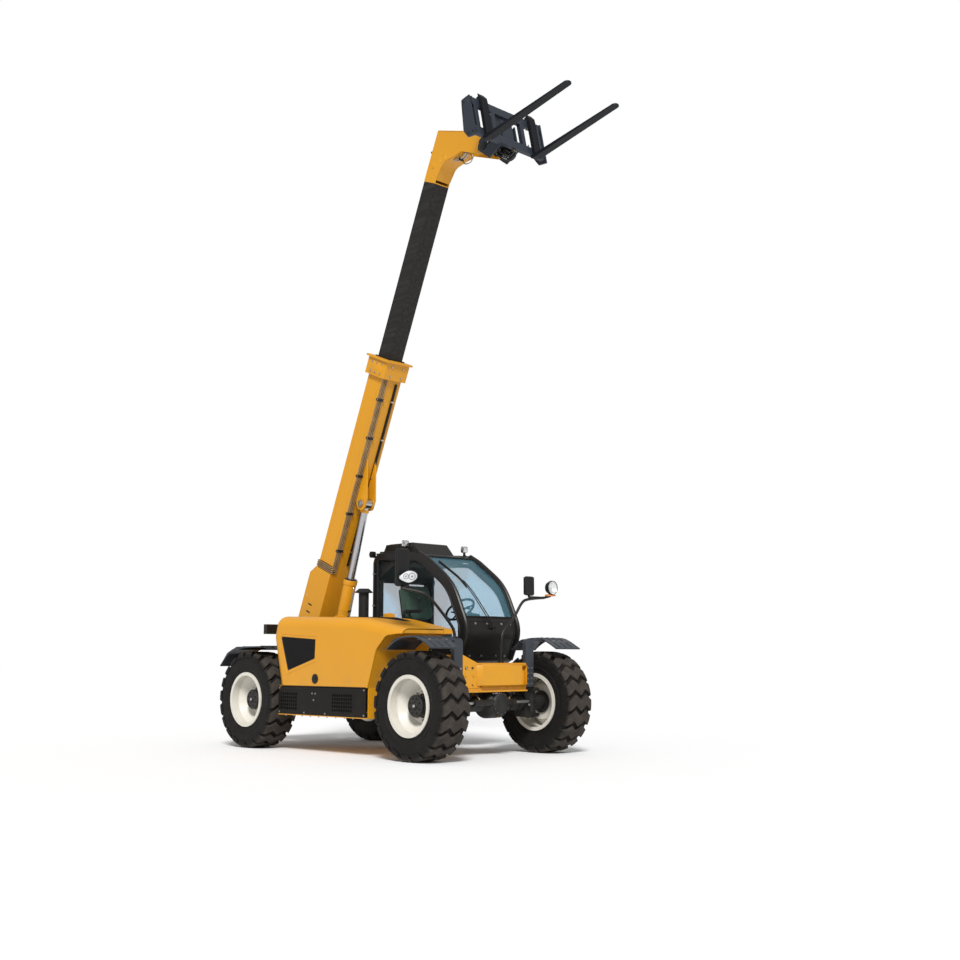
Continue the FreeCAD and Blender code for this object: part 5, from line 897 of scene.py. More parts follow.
def buildMirrors():
    piece = Piece("mirrors", plastic, mirrorFace, lensGlass, amberLens, lampSilver, black, steel)
    tube, lamp = mirrorSize["tube"], mirrorSize["lamp"]
    for item in mirrorSides:
        half = item["wide"] / 2
        side = item["side"]
        points = [Vector((x, side * y, z)) for x, y, z in item["arm"]]
        path = []
        for number, point in enumerate(points):
            if number in (0, len(points) - 1):
                path.append(point)
                continue
            for neighbour in (points[number - 1], points[number + 1]):
                path.append(point + (neighbour - point).normalized() * min(0.06, (neighbour - point).length * 0.4))
        piece.pipe(path, tube, 5)
        piece.rod(points[0] - Vector((0, 0, 0.0)), points[0] + Vector((0, 0, 0.02)), 0.034, finish=5, segments=24, bevel=0.003)
        end = points[-1]
        low = end.z + tube
        x, y, tall = item["mirror"][0], side * item["mirror"][1], item["mirror"][2]
        piece.box((x + 0.006, y - half, low), (x + mirrorSize["deep"], y + half, low + tall), 0, 0.022)
        piece.box((x + 0.002, y - half * 0.93, low + 0.012), (x + 0.008, y + half * 0.93, low + tall - 0.012), 0, 0.002)
        piece.box((x, y - half * 0.88, low + 0.018), (x + 0.0035, y + half * 0.88, low + tall - 0.018), 1)
        piece.rod((x + 0.025, y, end.z - 0.004), (x + 0.025, y, low + 0.02), 0.016, finish=0, segments=20, bevel=0.002)
        reach = sorted((y, end.y))
        if abs(reach[1] - reach[0]) > 0.02:
            piece.rod((x + 0.025, reach[0], end.z), (x + 0.025, reach[1], end.z), 0.013, finish=5, segments=16)
        lampX, lampY = item["lamp"][0], side * item["lamp"][1]
        centre = Vector((lampX, lampY, low + tube + lamp))
        piece.rod((end.x, end.y, end.z), (lampX + 0.02, lampY, low), 0.014, finish=5, segments=16)
        piece.rod((lampX + 0.02, lampY, low - 0.01), (lampX + 0.02, lampY, low + tube + 0.02), 0.016, finish=0, segments=20)
        if item["round"]:
            piece.lathe(((-0.030, 0.0), (-0.028, 0.035), (-0.010, 0.068), (0.030, 0.084), (0.050, 0.085), (0.060, 0.083), (0.060, 0.078)),
                        centre + Vector((0.015, 0, 0)), (1, 0, 0), 0, 44)
            piece.lathe(((0.052, 0.078), (0.010, 0.045), (0.0, 0.016), (0.0, 0.0)), centre + Vector((0.015, 0, 0)), (1, 0, 0), 4, 44)
            piece.lathe(((0.055, 0.0), (0.059, 0.03), (0.061, 0.055), (0.057, 0.079)), centre + Vector((0.012, 0, 0)), (1, 0, 0), 2, 44)
            piece.box(centre + Vector((0.0, -0.070, -0.102)), centre + Vector((0.06, 0.070, -0.080)), 3, 0.008)
        else:
            # A long lens that narrows to a rounded corner on its outer side, the whole lamp turned outwards
            piece.place = Matrix.Translation(centre) @ Matrix.Rotation(math.radians(side * 25), 4, "Z") @ Matrix.Translation(-centre)
            outline = []
            for number in range(36):
                turn = math.tau * number / 36
                reach = math.cos(turn)
                outline.append((0.108 * reach * -side, 0.068 * math.sin(turn) * (1 - 0.45 * max(0.0, -reach)) + 0.012 * reach))
            for finish, scale, front, thick in ((0, 1.0, 0.0, 0.052), (4, 0.92, 0.053, 0.003), (2, 0.95, 0.057, 0.004)):
                piece.slab([(centre.x + front, centre.y + a * scale, centre.z + b * scale) for a, b in outline], (thick, 0, 0), finish,
                           0.004 if finish == 0 else 0.001)
            for offset, radius in ((0.045, 0.040), (-0.025, 0.032)):
                piece.lathe(((0.004, radius), (0.001, radius * 0.5), (0.003, radius * 0.3), (0.003, 0.0)),
                            centre + Vector((0.0535, -side * offset, 0.004)), (1, 0, 0), 5, 32)
            piece.place = Matrix.Identity(4)
    piece.done("machine", 35, ("mirrors",))


roofLamps = (
    {"low": (-0.610, 0.135, 2.470), "foot": ((-0.595, -0.575), (2.395, 2.475)), "facing": 1, "clear": True},
    {"low": (-0.410, 0.960, 2.430), "foot": ((-0.395, -0.375), (2.385, 2.435)), "facing": 1, "clear": True},
    {"low": (-1.270, 0.150, 2.370), "foot": ((-1.230, -1.035), (2.4085, 2.418)), "facing": -1, "clear": False},
    {"low": (-1.270, 0.940, 2.370), "foot": ((-1.230, -1.035), (2.4085, 2.418)), "facing": -1, "clear": False})


def buildRoofLamps():
    piece = Piece("roofLamps", plastic, lensGlass, lampSilver, black, rubber)
    for lamp in roofLamps:
        x, y, z = lamp["low"]
        way = lamp["facing"]
        front = x + 0.05 if way > 0 else x
        middle = Vector((front, y + 0.04, z + 0.04))
        piece.box((x + (0.0 if way > 0 else 0.010), y, z), (x + (0.040 if way > 0 else 0.05), y + 0.08, z + 0.08), 0, 0.010)
        piece.lathe(((-0.012, 0.039), (-0.002, 0.039), (0.0, 0.036), (-0.004, 0.033)), middle, (way, 0, 0), 0, 32)
        piece.lathe(((-0.004, 0.033), (-0.022, 0.018), (-0.024, 0.0)), middle, (way, 0, 0), 2, 32)
        piece.lathe(((-0.005, 0.033), (-0.002, 0.015), (-0.001, 0.0)), middle, (way, 0, 0), 1, 32)
        if lamp["clear"]:
            piece.box((x + 0.041, y + 0.002, z + 0.002), (x + 0.048, y + 0.078, z + 0.078), 2, 0.002)
            piece.box((x + 0.004, y - 0.002, z + 0.008), (x + 0.036, y, z + 0.072), 2, 0.001)
        (first, last), (low, high) = lamp["foot"]
        piece.box((first, y + 0.026, low), (last, y + 0.054, high), 3, 0.003)
        piece.bolt(((first + last) / 2, y + 0.024, z + 0.012), (0, -1, 0), 0.006, 2)
        piece.pipe([(x + 0.02, y + 0.06, z + 0.01), (x + 0.0, y + 0.07, z - 0.02), ((first + last) / 2, y + 0.075, low + 0.008)], 0.004, 4)
    piece.done("machine", 35, ("work_lamps",))


buildMirrors()
buildRoofLamps()


print("nose, fenders and axles")
nose = {"front": 1.17, "pad": 1.22, "low": 0.765, "top": 1.04, "padSides": (-0.23, 0.47), "padTall": (0.795, 1.01)}
fender = {"line": ((0.68, 1.195), (0.816, 1.310), (1.12, 1.335), (1.256, 1.290), (1.40, 1.205)), "inner": 0.77, "outer": 1.18}
rearFender = {"line": ((-2.59, 1.000), (-2.44, 1.158), (-2.23, 1.235), (-1.70, 1.235)), "inner": 0.77, "outer": 1.18}


def buildNose():
    piece = Piece("noseTrim", yellow, black, steel, casting, plastic)
    front, pad = nose["front"], nose["pad"]
    (right, left), (low, top) = nose["padSides"], nose["padTall"]
    # Sloped shoulders that fold the pad back to the nose plate
    for y, out in ((right, right - 0.065), (left, left + 0.022)):
        piece.slab([(front, out, low - 0.008), (pad, y, low), (front, y, low)], (0, 0, top - low + 0.008), 0, 0.003)
    piece.slab([(front, right, top + 0.020), (pad, right, top), (front, right, top)], (0, left - right, 0), 0, 0.002)
    piece.slab([(front, right, low - 0.020), (pad, right, low), (front, right, low)], (0, left - right, 0), 0, 0.002)
    for y, z, radius in ((right - 0.125, 0.985, 0.014), (0.487, 0.985, 0.010), (right - 0.125, 0.80, 0.010)):
        piece.rod((front - 0.004, y, z), (front + 0.0025, y, z), radius, finish=4, segments=24)
    for y in (-0.46, -0.34):
        for z in (0.80, 0.90, 1.00):
            piece.bolt((front, y, z), (1, 0, 0), 0.009, 0)
    # Weld beads along the box edges
    for points in (((front + 0.002, -0.495, 0.768), (front + 0.002, 0.495, 0.768)), ((front - 0.338, -0.497, 0.768), (front - 0.338, 0.497, 0.768)),
                   ((front - 0.004, -0.499, 0.77), (front - 0.004, -0.499, 1.125)), ((front - 0.004, 0.499, 0.77), (front - 0.004, 0.499, 1.035))):
        piece.rod(*points, 0.005, finish=0, segments=10)
    # Shackle under the nose lip with its pin
    piece.box((front + 0.0, -0.045, 0.690), (front + 0.022, -0.020, 0.735), 3, 0.004)
    piece.box((front + 0.0, 0.020, 0.690), (front + 0.022, 0.045, 0.735), 3, 0.004)
    piece.rod((front + 0.012, -0.055, 0.705), (front + 0.012, 0.055, 0.705), 0.009, finish=2, segments=18)
    for side in (-1, 1):
        for z in (0.80, 0.86, 0.92, 0.98):
            for y in (0.535, 0.60):
                piece.bolt((1.17, side * y, z), (1, 0, 0), 0.0085, 2)
        piece.box((1.118, side * 0.565 - 0.058, 0.768), (1.122, side * 0.565 + 0.058, 1.02), 1, 0.001)
    piece.done("machine")


def buildFender(name, item, side, ribs):
    piece = Piece(name, fenderPlastic, black, steel, amberLens)
    inner, outer = side * item["inner"], side * item["outer"]
    line = item["line"]
    for y in (inner, outer):
        piece.pipe([Vector((x, y - math.copysign(0.006, y - (inner + outer) / 2), z - 0.004)) for x, z in line], 0.009, 0, 14)
    for number in range(ribs):
        share = (number + 1) / (ribs + 1)
        y = inner + (outer - inner) * share
        for (x0, z0), (x1, z1) in zip(line[1:], line[2:]):
            start, end = Vector((x0, y, z0)), Vector((x1, y, z1))
            run = (end - start).normalized()
            up = Vector((-run.z, 0, run.x))
            first, last = start + run * 0.035, end - run * 0.035
            half = Vector((0, 0.016, 0))
            piece.slab([first - half, first + half, last + half, last - half], up * 0.005, 0, 0.0022)
    for x, z in (line[1], line[-2]):
        for share in (0.2, 0.8):
            piece.bolt((x + 0.03, inner + (outer - inner) * share, z + 0.002), (0, 0, 1), 0.007, 2)
    (x0, z0), (x1, z1) = line[-2], line[-1]
    for share in (0.0, 1.0):
        end = line[0] if share == 0 else line[-1]
        piece.rod((end[0] + (0.004 if share == 0 else -0.004), inner, end[1] + 0.002), (end[0] + (0.004 if share == 0 else -0.004), outer, end[1] + 0.002),
                  0.008, finish=0, segments=14)
    piece.done("machine")


def axleHose(piece, start, end, sag, finish):
    start, end = Vector(start), Vector(end)
    middle = (start + end) / 2 + Vector((0.02, 0, sag))
    piece.pipe([start, start + (middle - start) * 0.4 + Vector((0.02, 0, sag * 0.4)), middle, end + (middle - end) * 0.4 + Vector((0.02, 0, sag * 0.4)), end],
               0.008, finish)
    for spot, other in ((start, middle), (end, middle)):
        run = (other - spot).normalized()
        piece.rod(spot - run * 0.004, spot + run * 0.028, 0.0105, finish=3, segments=6)


def buildAxles():
    for x, label in ((frontAxle, "frontAxleFittings"), (rearAxle, "rearAxleFittings")):
        piece = Piece(label, casting, steel, rubber, brass, black)
        way = 1 if x == frontAxle else -1
        middle = Vector((x, 0.085, axleHeight))
        # Carrier of the differential with its ring of bolts, and the input flange
        piece.lathe(((0.145, 0.0), (0.145, 0.118), (0.158, 0.126), (0.168, 0.118), (0.185, 0.08), (0.19, 0.0)), middle, (way, 0, 0), 0, 48)
        for number in range(12):
            turn = math.tau * number / 12
            piece.bolt(middle + Vector((way * 0.160, 0.109 * math.sin(turn), 0.109 * math.cos(turn))), (way, 0, 0), 0.0085, 1)
        piece.lathe(((0.12, 0.11), (0.21, 0.085), (0.27, 0.058), (0.30, 0.055), (0.302, 0.0)), middle, (-way, 0, 0), 0, 40)
        piece.rod(middle + Vector((-way * 0.30, 0, 0)), middle + Vector((-way * 0.325, 0, 0)), 0.07, finish=0, segments=32, bevel=0.004)
        for number in range(4):
            turn = math.tau * (number + 0.5) / 4
            piece.bolt(middle + Vector((-way * 0.325, 0.055 * math.sin(turn), 0.055 * math.cos(turn))), (-way, 0, 0), 0.008, 1)
        for y in (-0.055, 0.225):
            piece.lathe(((-0.012, 0.094), (-0.010, 0.104), (0.010, 0.104), (0.012, 0.094)), (x, y, axleHeight), (0, 1, 0), 0, 40)
        for side in (-1, 1):
            for offset in (0.34, 0.47, 0.57):
                piece.lathe(((-0.010, 0.085), (-0.006, 0.096), (0.006, 0.096), (0.010, 0.085)), (x, side * offset, axleHeight), (0, 1, 0), 0, 36)
            piece.rod((x, side * 0.40, axleHeight + 0.085), (x, side * 0.40, axleHeight + 0.105), 0.013, finish=3, segments=6)
        piece.rod((x + way * 0.09, 0.085, axleHeight - 0.135), (x + way * 0.10, 0.085, axleHeight - 0.152), 0.014, finish=3, segments=6)
        # Brake line clipped along the beam
        z = axleHeight + 0.093
        piece.pipe([(x + 0.02, -0.60, z), (x + 0.02, -0.3, z), (x + 0.03, -0.12, z + 0.06), (x + 0.03, 0.085, z + 0.09),
                    (x + 0.03, 0.30, z + 0.04), (x + 0.02, 0.45, z), (x + 0.02, 0.60, z)], 0.005, 1)
        if x == frontAxle:
            z, front = axleHeight + 0.015, x + 0.135
            piece.rod((front, -0.30, z), (front, 0.30, z), 0.036, finish=4, segments=36, bevel=0.004)
            for side in (-1, 1):
                piece.rod((front, side * 0.285, z), (front, side * 0.325, z), 0.041, finish=4, segments=36, bevel=0.004)
                piece.rod((front, side * 0.30, z), (front, side * 0.545, z), 0.017, finish=1, segments=24)
                piece.rod((front, side * 0.24, z + 0.034), (front, side * 0.24, z + 0.055), 0.011, finish=3, segments=6)
                piece.box((front - 0.05, side * 0.21 - 0.02, z - 0.045), (front + 0.004, side * 0.21 + 0.02, z + 0.045), 0, 0.006)
                axleHose(piece, (front, side * 0.24, z + 0.05), (x + 0.06, side * 0.44, axleHeight + 0.10), 0.05, 2)
        piece.done("machine")
    for side, body in ((1, "steered_left"), (-1, "steered_right")):
        knuckle = Piece("knuckleFittings_" + ("left" if side > 0 else "right"), casting, steel, rubber, brass)
        x, y, z = frontAxle, side * 0.72, axleHeight
        for way in (-1, 1):
            knuckle.lathe(((0.0, 0.0), (0.0, 0.050), (0.010, 0.050), (0.016, 0.040), (0.018, 0.0)), (x, y, z + way * 0.1655), (0, 0, way), 0, 36)
            for number in range(4):
                turn = math.tau * (number + 0.5) / 4
                knuckle.bolt((x + 0.036 * math.sin(turn), y + 0.036 * math.cos(turn), z + way * 0.179), (0, 0, way), 0.0065, 1)
        knuckle.rod((x, y, z + 0.183), (x, y, z + 0.198), 0.007, finish=3, segments=6)
        # Steering arm with the ball joint of the steering cylinder
        knuckle.slab([(x + 0.04, y - side * 0.03, z - 0.018), (x + 0.155, y - side * 0.150, z - 0.018), (x + 0.118, y - side * 0.165, z - 0.018),
                      (x + 0.02, y - side * 0.065, z - 0.018)], (0, 0, 0.034), 0, 0.006)
        knuckle.ball((x + 0.135, y - side * 0.150, z + 0.012), 0.026, 2)
        knuckle.rod((x + 0.135, y - side * 0.150, z - 0.035), (x + 0.135, y - side * 0.150, z + 0.035), 0.012, finish=1, segments=6)
        for number in range(10):
            turn = math.tau * number / 10
            knuckle.bolt((x + 0.072 * math.sin(turn), y + side * 0.118, z + 0.072 * math.cos(turn)), (0, side, 0), 0.006, 1)
        knuckle.done(body)


buildNose()
for side, label in ((1, "Left"), (-1, "Right")):
    buildFender("frontFender" + label, fender, side, 3)
    buildFender("rearFender" + label, rearFender, side, 3)
buildAxles()


print("boom")
boomPlace = Matrix.Translation(boomPivot) @ Matrix.Rotation(-boomAngle, 4, "Y")
boom = {"half": 0.14, "top": 0.13, "under": 0.19, "end": 3.86, "collar": (3.62, 3.86), "collarThick": 0.038, "footHalf": 0.164,
        "pipeStart": 1.046, "pipePitch": 0.023, "pipeRadius": 0.008, "pipeSide": -0.16, "clamps": (1.35, 1.85, 2.35, 2.85, 3.35)}


def buildBoomTrim():
    trim = Piece("boomTrim", yellow, black, steel, rubber, plastic, palePaint, place=boomPlace)
    half, top, under = boom["half"], boom["top"], boom["under"]
    first, last = boom["collar"]
    out = half + boom["collarThick"]
    # Screws of the wear pads round the collar, in two rows, with their shim plates
    for u in (first + 0.045, last - 0.075):
        for side in (-1, 1):
            for w in (-0.13, -0.03, 0.07):
                trim.bolt((u, side * out, w), (0, side, 0), 0.009, 2)
        for y in (-0.09, 0.09):
            trim.bolt((u, y, top + boom["collarThick"]), (0, 0, 1), 0.009, 2)
            trim.bolt((u, y, -under - boom["collarThick"]), (0, 0, -1), 0.009, 2)
    for side in (-1, 1):
        trim.box((first + 0.02, side * out - 0.003, -0.16), (last - 0.05, side * out + 0.003, 0.10), 0, 0.002)
        trim.rod((first - 0.002, side * (half + 0.002), -under + 0.01), (first - 0.002, side * (half + 0.002), top - 0.01), 0.006, finish=0, segments=10)
        # Weld seam where the foot plates end, lifting eye and the four slots of the flank
        trim.rod((0.92, side * (boom["footHalf"]), 0.215), (1.03, side * (boom["footHalf"]), 0.13), 0.004, finish=0, segments=8)
        trim.rod((0.15, side * boom["footHalf"], 0.222), (0.92, side * boom["footHalf"], 0.222), 0.004, finish=0, segments=8)
        for u, w in ((0.30, 0.16), (0.62, 0.16)):
            trim.rod((u, side * (boom["footHalf"] - 0.001), w), (u, side * (boom["footHalf"] + 0.0025), w), 0.011, finish=5, segments=20)
        for u in (0.42, 0.52):
            trim.box((u, side * boom["footHalf"] - 0.0018, 0.02), (u + 0.018, side * boom["footHalf"] + 0.0018, 0.10), 4, 0.001)
    # Seam down both flanks of the outer section
    for side in (-1, 1):
        for w in (-0.105, 0.075):
            trim.rod((1.10, side * (half + 0.0004), w), (first, side * (half + 0.0004), w), 0.0022, finish=0, segments=8)
    # Black sheets behind the pipes as painted shade in the gaps between them, and the clamps over them on the underside
    y0 = boom["pipeSide"]
    trim.box((1.04, y0 + 0.022, -under - 0.0012), (3.60, y0 + 0.082, -under), 1)
    # Painted shade: a black band on the flank where the pipes cross it
    trim.box((1.036, -half - 0.0012, -under + 0.02), (1.126, -half, top - 0.02), 1)
    for u in boom["clamps"]:
        y, low = y0 + boom["pipePitch"] * 1.5, -under - 0.0083
        trim.box((u - 0.017, y - 0.055, low - 0.0125), (u + 0.017, y + 0.055, low - 0.0075), 1, 0.0015)
        for side in (-1, 1):
            trim.box((u - 0.014, y + side * 0.050 - 0.006, low - 0.010), (u + 0.014, y + side * 0.050 + 0.006, -under), 1, 0.001)
            trim.bolt((u, y + side * 0.050, low - 0.0125), (0, 0, -1), 0.005, 2)
    # Channel with a hose in it beside the pipes, held by straps
    trim.box((1.16, 0.052, -under - 0.012), (3.58, 0.088, -under), 1, 0.002)
    trim.pipe([(1.16, 0.07, -under - 0.018), (1.8, 0.07, -under - 0.020), (2.4, 0.07, -under - 0.018), (3.0, 0.07, -under - 0.020),
               (3.58, 0.07, -under - 0.018)], 0.010, 3)
    for u in boom["clamps"]:
        trim.box((u - 0.010, 0.046, -under - 0.031), (u + 0.010, 0.094, -under - 0.026), 2, 0.001)
        for y in (0.048, 0.092):
            trim.box((u - 0.010, y - 0.002, -under - 0.030), (u + 0.010, y + 0.002, -under), 2)
    # Pivot pin caps with keeper plates, and the pins of the lift cylinder
    for side in (-1, 1):
        face = side * 0.186
        trim.lathe(((0.0, 0.0), (0.0, 0.052), (side * 0.006, 0.052), (side * 0.012, 0.044), (side * 0.012, 0.0)), (0, face + side * 0.029, 0), (0, 1, 0), 2, 40)
        trim.box((-0.016, face + side * 0.040 - 0.004, 0.0), (0.016, face + side * 0.040 + 0.004, 0.10), 1, 0.002)
        trim.bolt((0, face + side * 0.044, 0.082), (0, side, 0), 0.009, 2)
        lug = side * 0.0905
        trim.lathe(((0.0, 0.0), (0.0, 0.046), (side * 0.005, 0.044), (side * 0.005, 0.0)), (2.03, lug, -0.31), (0, 1, 0), 2, 32)
        trim.bolt((2.03, lug + side * 0.005, -0.31), (0, side, 0), 0.010, 2)
    # End stop blocks at the mouth, just clear of the sliding section
    for side in (-1, 1):
        reach = sorted((side * 0.1178, side * 0.1300))
        trim.box((last, reach[0], -0.17), (last + 0.014, reach[1], 0.11), 4, 0.002)
    trim.box((last, -0.105, 0.0738), (last + 0.014, 0.105, 0.0850), 4, 0.002)
    trim.box((last, -0.105, -0.1450), (last + 0.014, 0.105, -0.1338), 4, 0.002)
    trim.done("boom")

    # Sight hole of the chains, flush so that it slides into the outer section
    slide = Piece("innerBoomTrim", innerBoomPaint, plastic, place=boomPlace)
    for side in (-1, 1):
        face = side * 0.116
        slide.rod((5.80, face - side * 0.002, 0.035), (5.80, face + side * 0.0004, 0.035), 0.026, finish=1, segments=28)
    slide.done("telescope")


buildBoomTrim()


print("head and carriage")
headPlace = boomPlace
hinge = Vector((1.24007, boomSide, 7.049769))
carriagePlace = Matrix.Translation(hinge) @ Matrix.Rotation(-carriageLean, 4, "Y")
tilt = {"base": (6.30, -0.02), "hinge": (6.618, -0.874), "barrel": 0.038, "rod": 0.020}


def buildHead():
    head = Piece("headFittings", yellow, black, steel, rubber, casting, pipePaint, plastic, place=headPlace)
    for side in (-1, 1):
        face = side * 0.116
        # Bosses, pin caps with keepers, and the embossed rings of the cheek plates
        head.lathe(((0.0, 0.051), (side * 0.012, 0.051), (side * 0.014, 0.048), (side * 0.014, 0.031)), (*tilt["hinge"][:1], face, tilt["hinge"][1]), (0, 1, 0), 0, 36)
        head.lathe(((0.0, 0.036), (side * 0.004, 0.034), (side * 0.005, 0.028), (side * 0.005, 0.0)), (tilt["base"][0], face, tilt["base"][1]),
                   (0, 1, 0), 0, 32)
        head.lathe(((0.0, 0.052), (side * 0.0022, 0.050), (side * 0.0022, 0.044), (0.0, 0.042)), (6.40, face, -0.16), (0, 1, 0), 0, 40)
        for u, w in ((6.16, -0.04), (6.20, -0.10)):
            head.lathe(((0.0, 0.017), (side * 0.002, 0.015), (side * 0.002, 0.0)), (u, face, w), (0, 1, 0), 0, 24)
        # Stub pin at the rear edge, weld beads along the folded edges
        head.rod((6.45, side * 0.112, 0.066), (6.45, side * 0.112, 0.082), 0.014, finish=1, segments=20, bevel=0.002)
        for start, end in (((6.10, 0.070), (6.715, 0.061)), ((6.722, 0.058), (6.758, -0.396)), ((6.16, -0.134), (6.30, -0.165)),
                           ((6.37, -0.205), (6.50, -0.44))):
            head.rod((start[0], face, start[1]), (end[0], face, end[1]), 0.0042, finish=0, segments=10)
    head.rod((6.45, -0.112, 0.075), (6.45, 0.112, 0.075), 0.009, finish=1, segments=18)
    # Two tubes leave the nose below the pin and run back under the plate
    for y in (-0.055, -0.02):
        head.pipe([(6.58, y, -0.47), (6.53, y, -0.49), (6.46, y, -0.455), (6.435, y, -0.39), (6.425, y, -0.34), (6.41, y, -0.30)], 0.009, 2)
        for u, w in ((6.442, -0.41),):
            head.box((u - 0.022, y - 0.015, w - 0.010), (u + 0.012, y + 0.015, w + 0.010), 1, 0.003)
        head.rod((6.575, y, -0.472), (6.60, y, -0.462), 0.013, finish=2, segments=6)
    head.pipe([(6.465, 0.03, -0.36), (6.41, 0.03, -0.39), (6.40, 0.03, -0.43), (6.42, 0.03, -0.50), (6.45, 0.03, -0.53), (6.50, 0.03, -0.53), (6.525, 0.03, -0.50)], 0.007, 2)
    head.done("telescope")


def buildCarriage():
    piece = Piece("carriageFittings", carriagePaint, black, steel, casting, rubber, plastic, place=carriagePlace)
    deep, face, low, high, half = 0.13, 0.30, -0.13, 0.345, 0.60
    for side in (-1, 1):
        out = side * half
        # Slit and holes of the end plates, lock pin with its handle
        piece.slab([(0.150, out - side * 0.001, 0.165), (0.172, out - side * 0.001, 0.165), (0.186, out - side * 0.001, 0.300), (0.164, out - side * 0.001, 0.300)],
                   (0, side * 0.002, 0), 5, 0.0008)
        for x, z in ((0.20, -0.09), (0.27, -0.10), (0.20, 0.315)):
            piece.rod((x, out - side * 0.001, z), (x, out + side * 0.0015, z), 0.014, finish=5, segments=20)
        piece.rod((0.27, out - side * 0.03, 0.295), (0.27, out + side * 0.0, 0.295), 0.016, finish=2, segments=20, bevel=0.002)
        # Bars stand proud along the top and bottom, with end stops for the forks
        piece.box((face - 0.004, out - side * 0.03 - 0.008, 0.255), (face + 0.014, out - side * 0.03 + 0.008, 0.345), 0, 0.003)
        piece.box((face - 0.004, out - side * 0.03 - 0.008, -0.13), (face + 0.014, out - side * 0.03 + 0.008, -0.06), 0, 0.003)
        # Pin cap, keeper and grease nipple on the outer hinge plates
        cheek = side * 0.152
        piece.lathe(((0.0, 0.0), (0.0, 0.046), (side * 0.006, 0.046), (side * 0.009, 0.038), (side * 0.009, 0.0)), (0, cheek + side * 0.006, 0), (0, 1, 0), 3, 36)
        piece.box((0.02, cheek, -0.014), (0.105, cheek + side * 0.008, 0.014), 1, 0.002)
        piece.bolt((0.09, cheek + side * 0.008, 0.0), (0, side, 0), 0.008, 2)
        piece.rod((-0.045, cheek - side * 0.002, 0.045), (-0.045, cheek + side * 0.014, 0.045), 0.005, finish=2, segments=8)
        for z in (0.10, 0.02, -0.08):
            piece.rod((0.248, cheek, z), (0.248, cheek - side * 0.018, z), 0.006, finish=0, segments=10)
    # Teeth that space the forks along the upper bar
    for number in range(13):
        y = -0.54 + number * 0.09
        if min(abs(y - 0.40), abs(y + 0.40)) > 0.055:
            piece.box((0.258, y - 0.010, 0.343), (0.296, y + 0.010, 0.352), 0, 0.002)
    # Valve block between the ears, its fittings and the spring of the lock
    piece.box((0.10, -0.052, -0.150), (0.225, 0.052, -0.085), 1, 0.008)
    piece.box((0.125, -0.048, -0.186), (0.205, 0.048, -0.148), 3, 0.006)
    for y in (-0.034, 0.0, 0.034):
        piece.rod((0.150, y, -0.186), (0.150, y, -0.204), 0.011, finish=2, segments=6)
        piece.rod((0.185, y, -0.186), (0.185, y, -0.200), 0.008, finish=2, segments=12)
        piece.rod((0.10, y, -0.115), (0.082, y, -0.115), 0.012, finish=2, segments=6)
    coil = [(0.235 + 0.014 * math.cos(turn * 0.7), -0.25 + turn * 0.0042, 0.02 + 0.014 * math.sin(turn * 0.7)) for turn in range(72)]
    piece.pipe(coil, 0.0028, 2, 2)
    piece.rod((0.235, -0.30, 0.02), (0.235, 0.09, 0.02), 0.007, finish=2, segments=16)
    for y in (-0.27, 0.07):
        piece.box((0.222, y - 0.006, 0.0), (0.252, y + 0.006, 0.04), 0, 0.003)
    # Plates and screws of the inner uprights
    for y in (-0.30, 0.30):
        for z in (-0.02, 0.20):
            piece.bolt((0.2495, y, z), (-1, 0, 0), 0.008, 2)
            piece.bolt((face, y, z), (1, 0, 0), 0.008, 2)
    piece.done("fork_carriage")

    forks = Piece("forkFittings", forkPaint, steel, black, place=carriagePlace)
    for side in (-1, 1):
        y = side * 0.40
        forks.rod((0.278, y, 0.388), (0.278, y, 0.422), 0.014, finish=1, segments=20, bevel=0.002)
        forks.box((0.262, y - 0.012, 0.412), (0.300, y + 0.012, 0.424), 2, 0.003)
        forks.box((0.262, y - 0.048, -0.150), (0.302, y + 0.048, -0.135), 0, 0.004)
        for edge in (-1, 1):
            forks.rod((0.345, y + edge * 0.048, -0.10), (0.345, y + edge * 0.048, 0.33), 0.0035, finish=0, segments=8)
    forks.done("fork_carriage")


buildHead()
buildCarriage()


# Low and high corners of a node, in the frame
def span(nodeName):
    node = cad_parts[nodeName]
    corners = [node.matrix_world @ Vector(corner) for corner in node.bound_box]
    return (Vector([min(corner[axis] for corner in corners) for axis in range(3)]),
            Vector([max(corner[axis] for corner in corners) for axis in range(3)]))


print("carriage hoses")
hose = {"radius": 0.011, "routes": (
    ((0.132, -0.0825, -0.1089), (0.132, -0.0825, -0.1879), (0.1965, 0.0095, -0.280), (0.261, 0.1015, -0.205), (0.261, 0.1015, -0.130)),
    ((0.180, -0.0825, -0.1199), (0.180, -0.0825, -0.1689), (0.2205, -0.00625, -0.230), (0.261, 0.070, -0.180), (0.261, 0.070, -0.130)))}


def buildHoses():
    for number, route in enumerate(hose["routes"]):
        name = "carriageHose" + str(number + 1)
        curve = bpy.data.curves.new(name, "CURVE")
        curve.dimensions = "3D"
        curve.bevel_depth = hose["radius"]
        curve.bevel_resolution = 4
        curve.resolution_u = 16
        curve.use_fill_caps = True
        spline = curve.splines.new("NURBS")
        spline.points.add(len(route) - 1)
        for spot, point in zip(spline.points, route):
            spot.co = (*(carriagePlace @ Vector(point)), 1)
        spline.order_u = 3
        spline.use_endpoint_u = True
        made = bpy.data.objects.new(name, curve)
        bpy.context.collection.objects.link(made)
        curve.materials.append(rubber)
        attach(made, "fork_carriage")
        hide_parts("carriage_hoses")


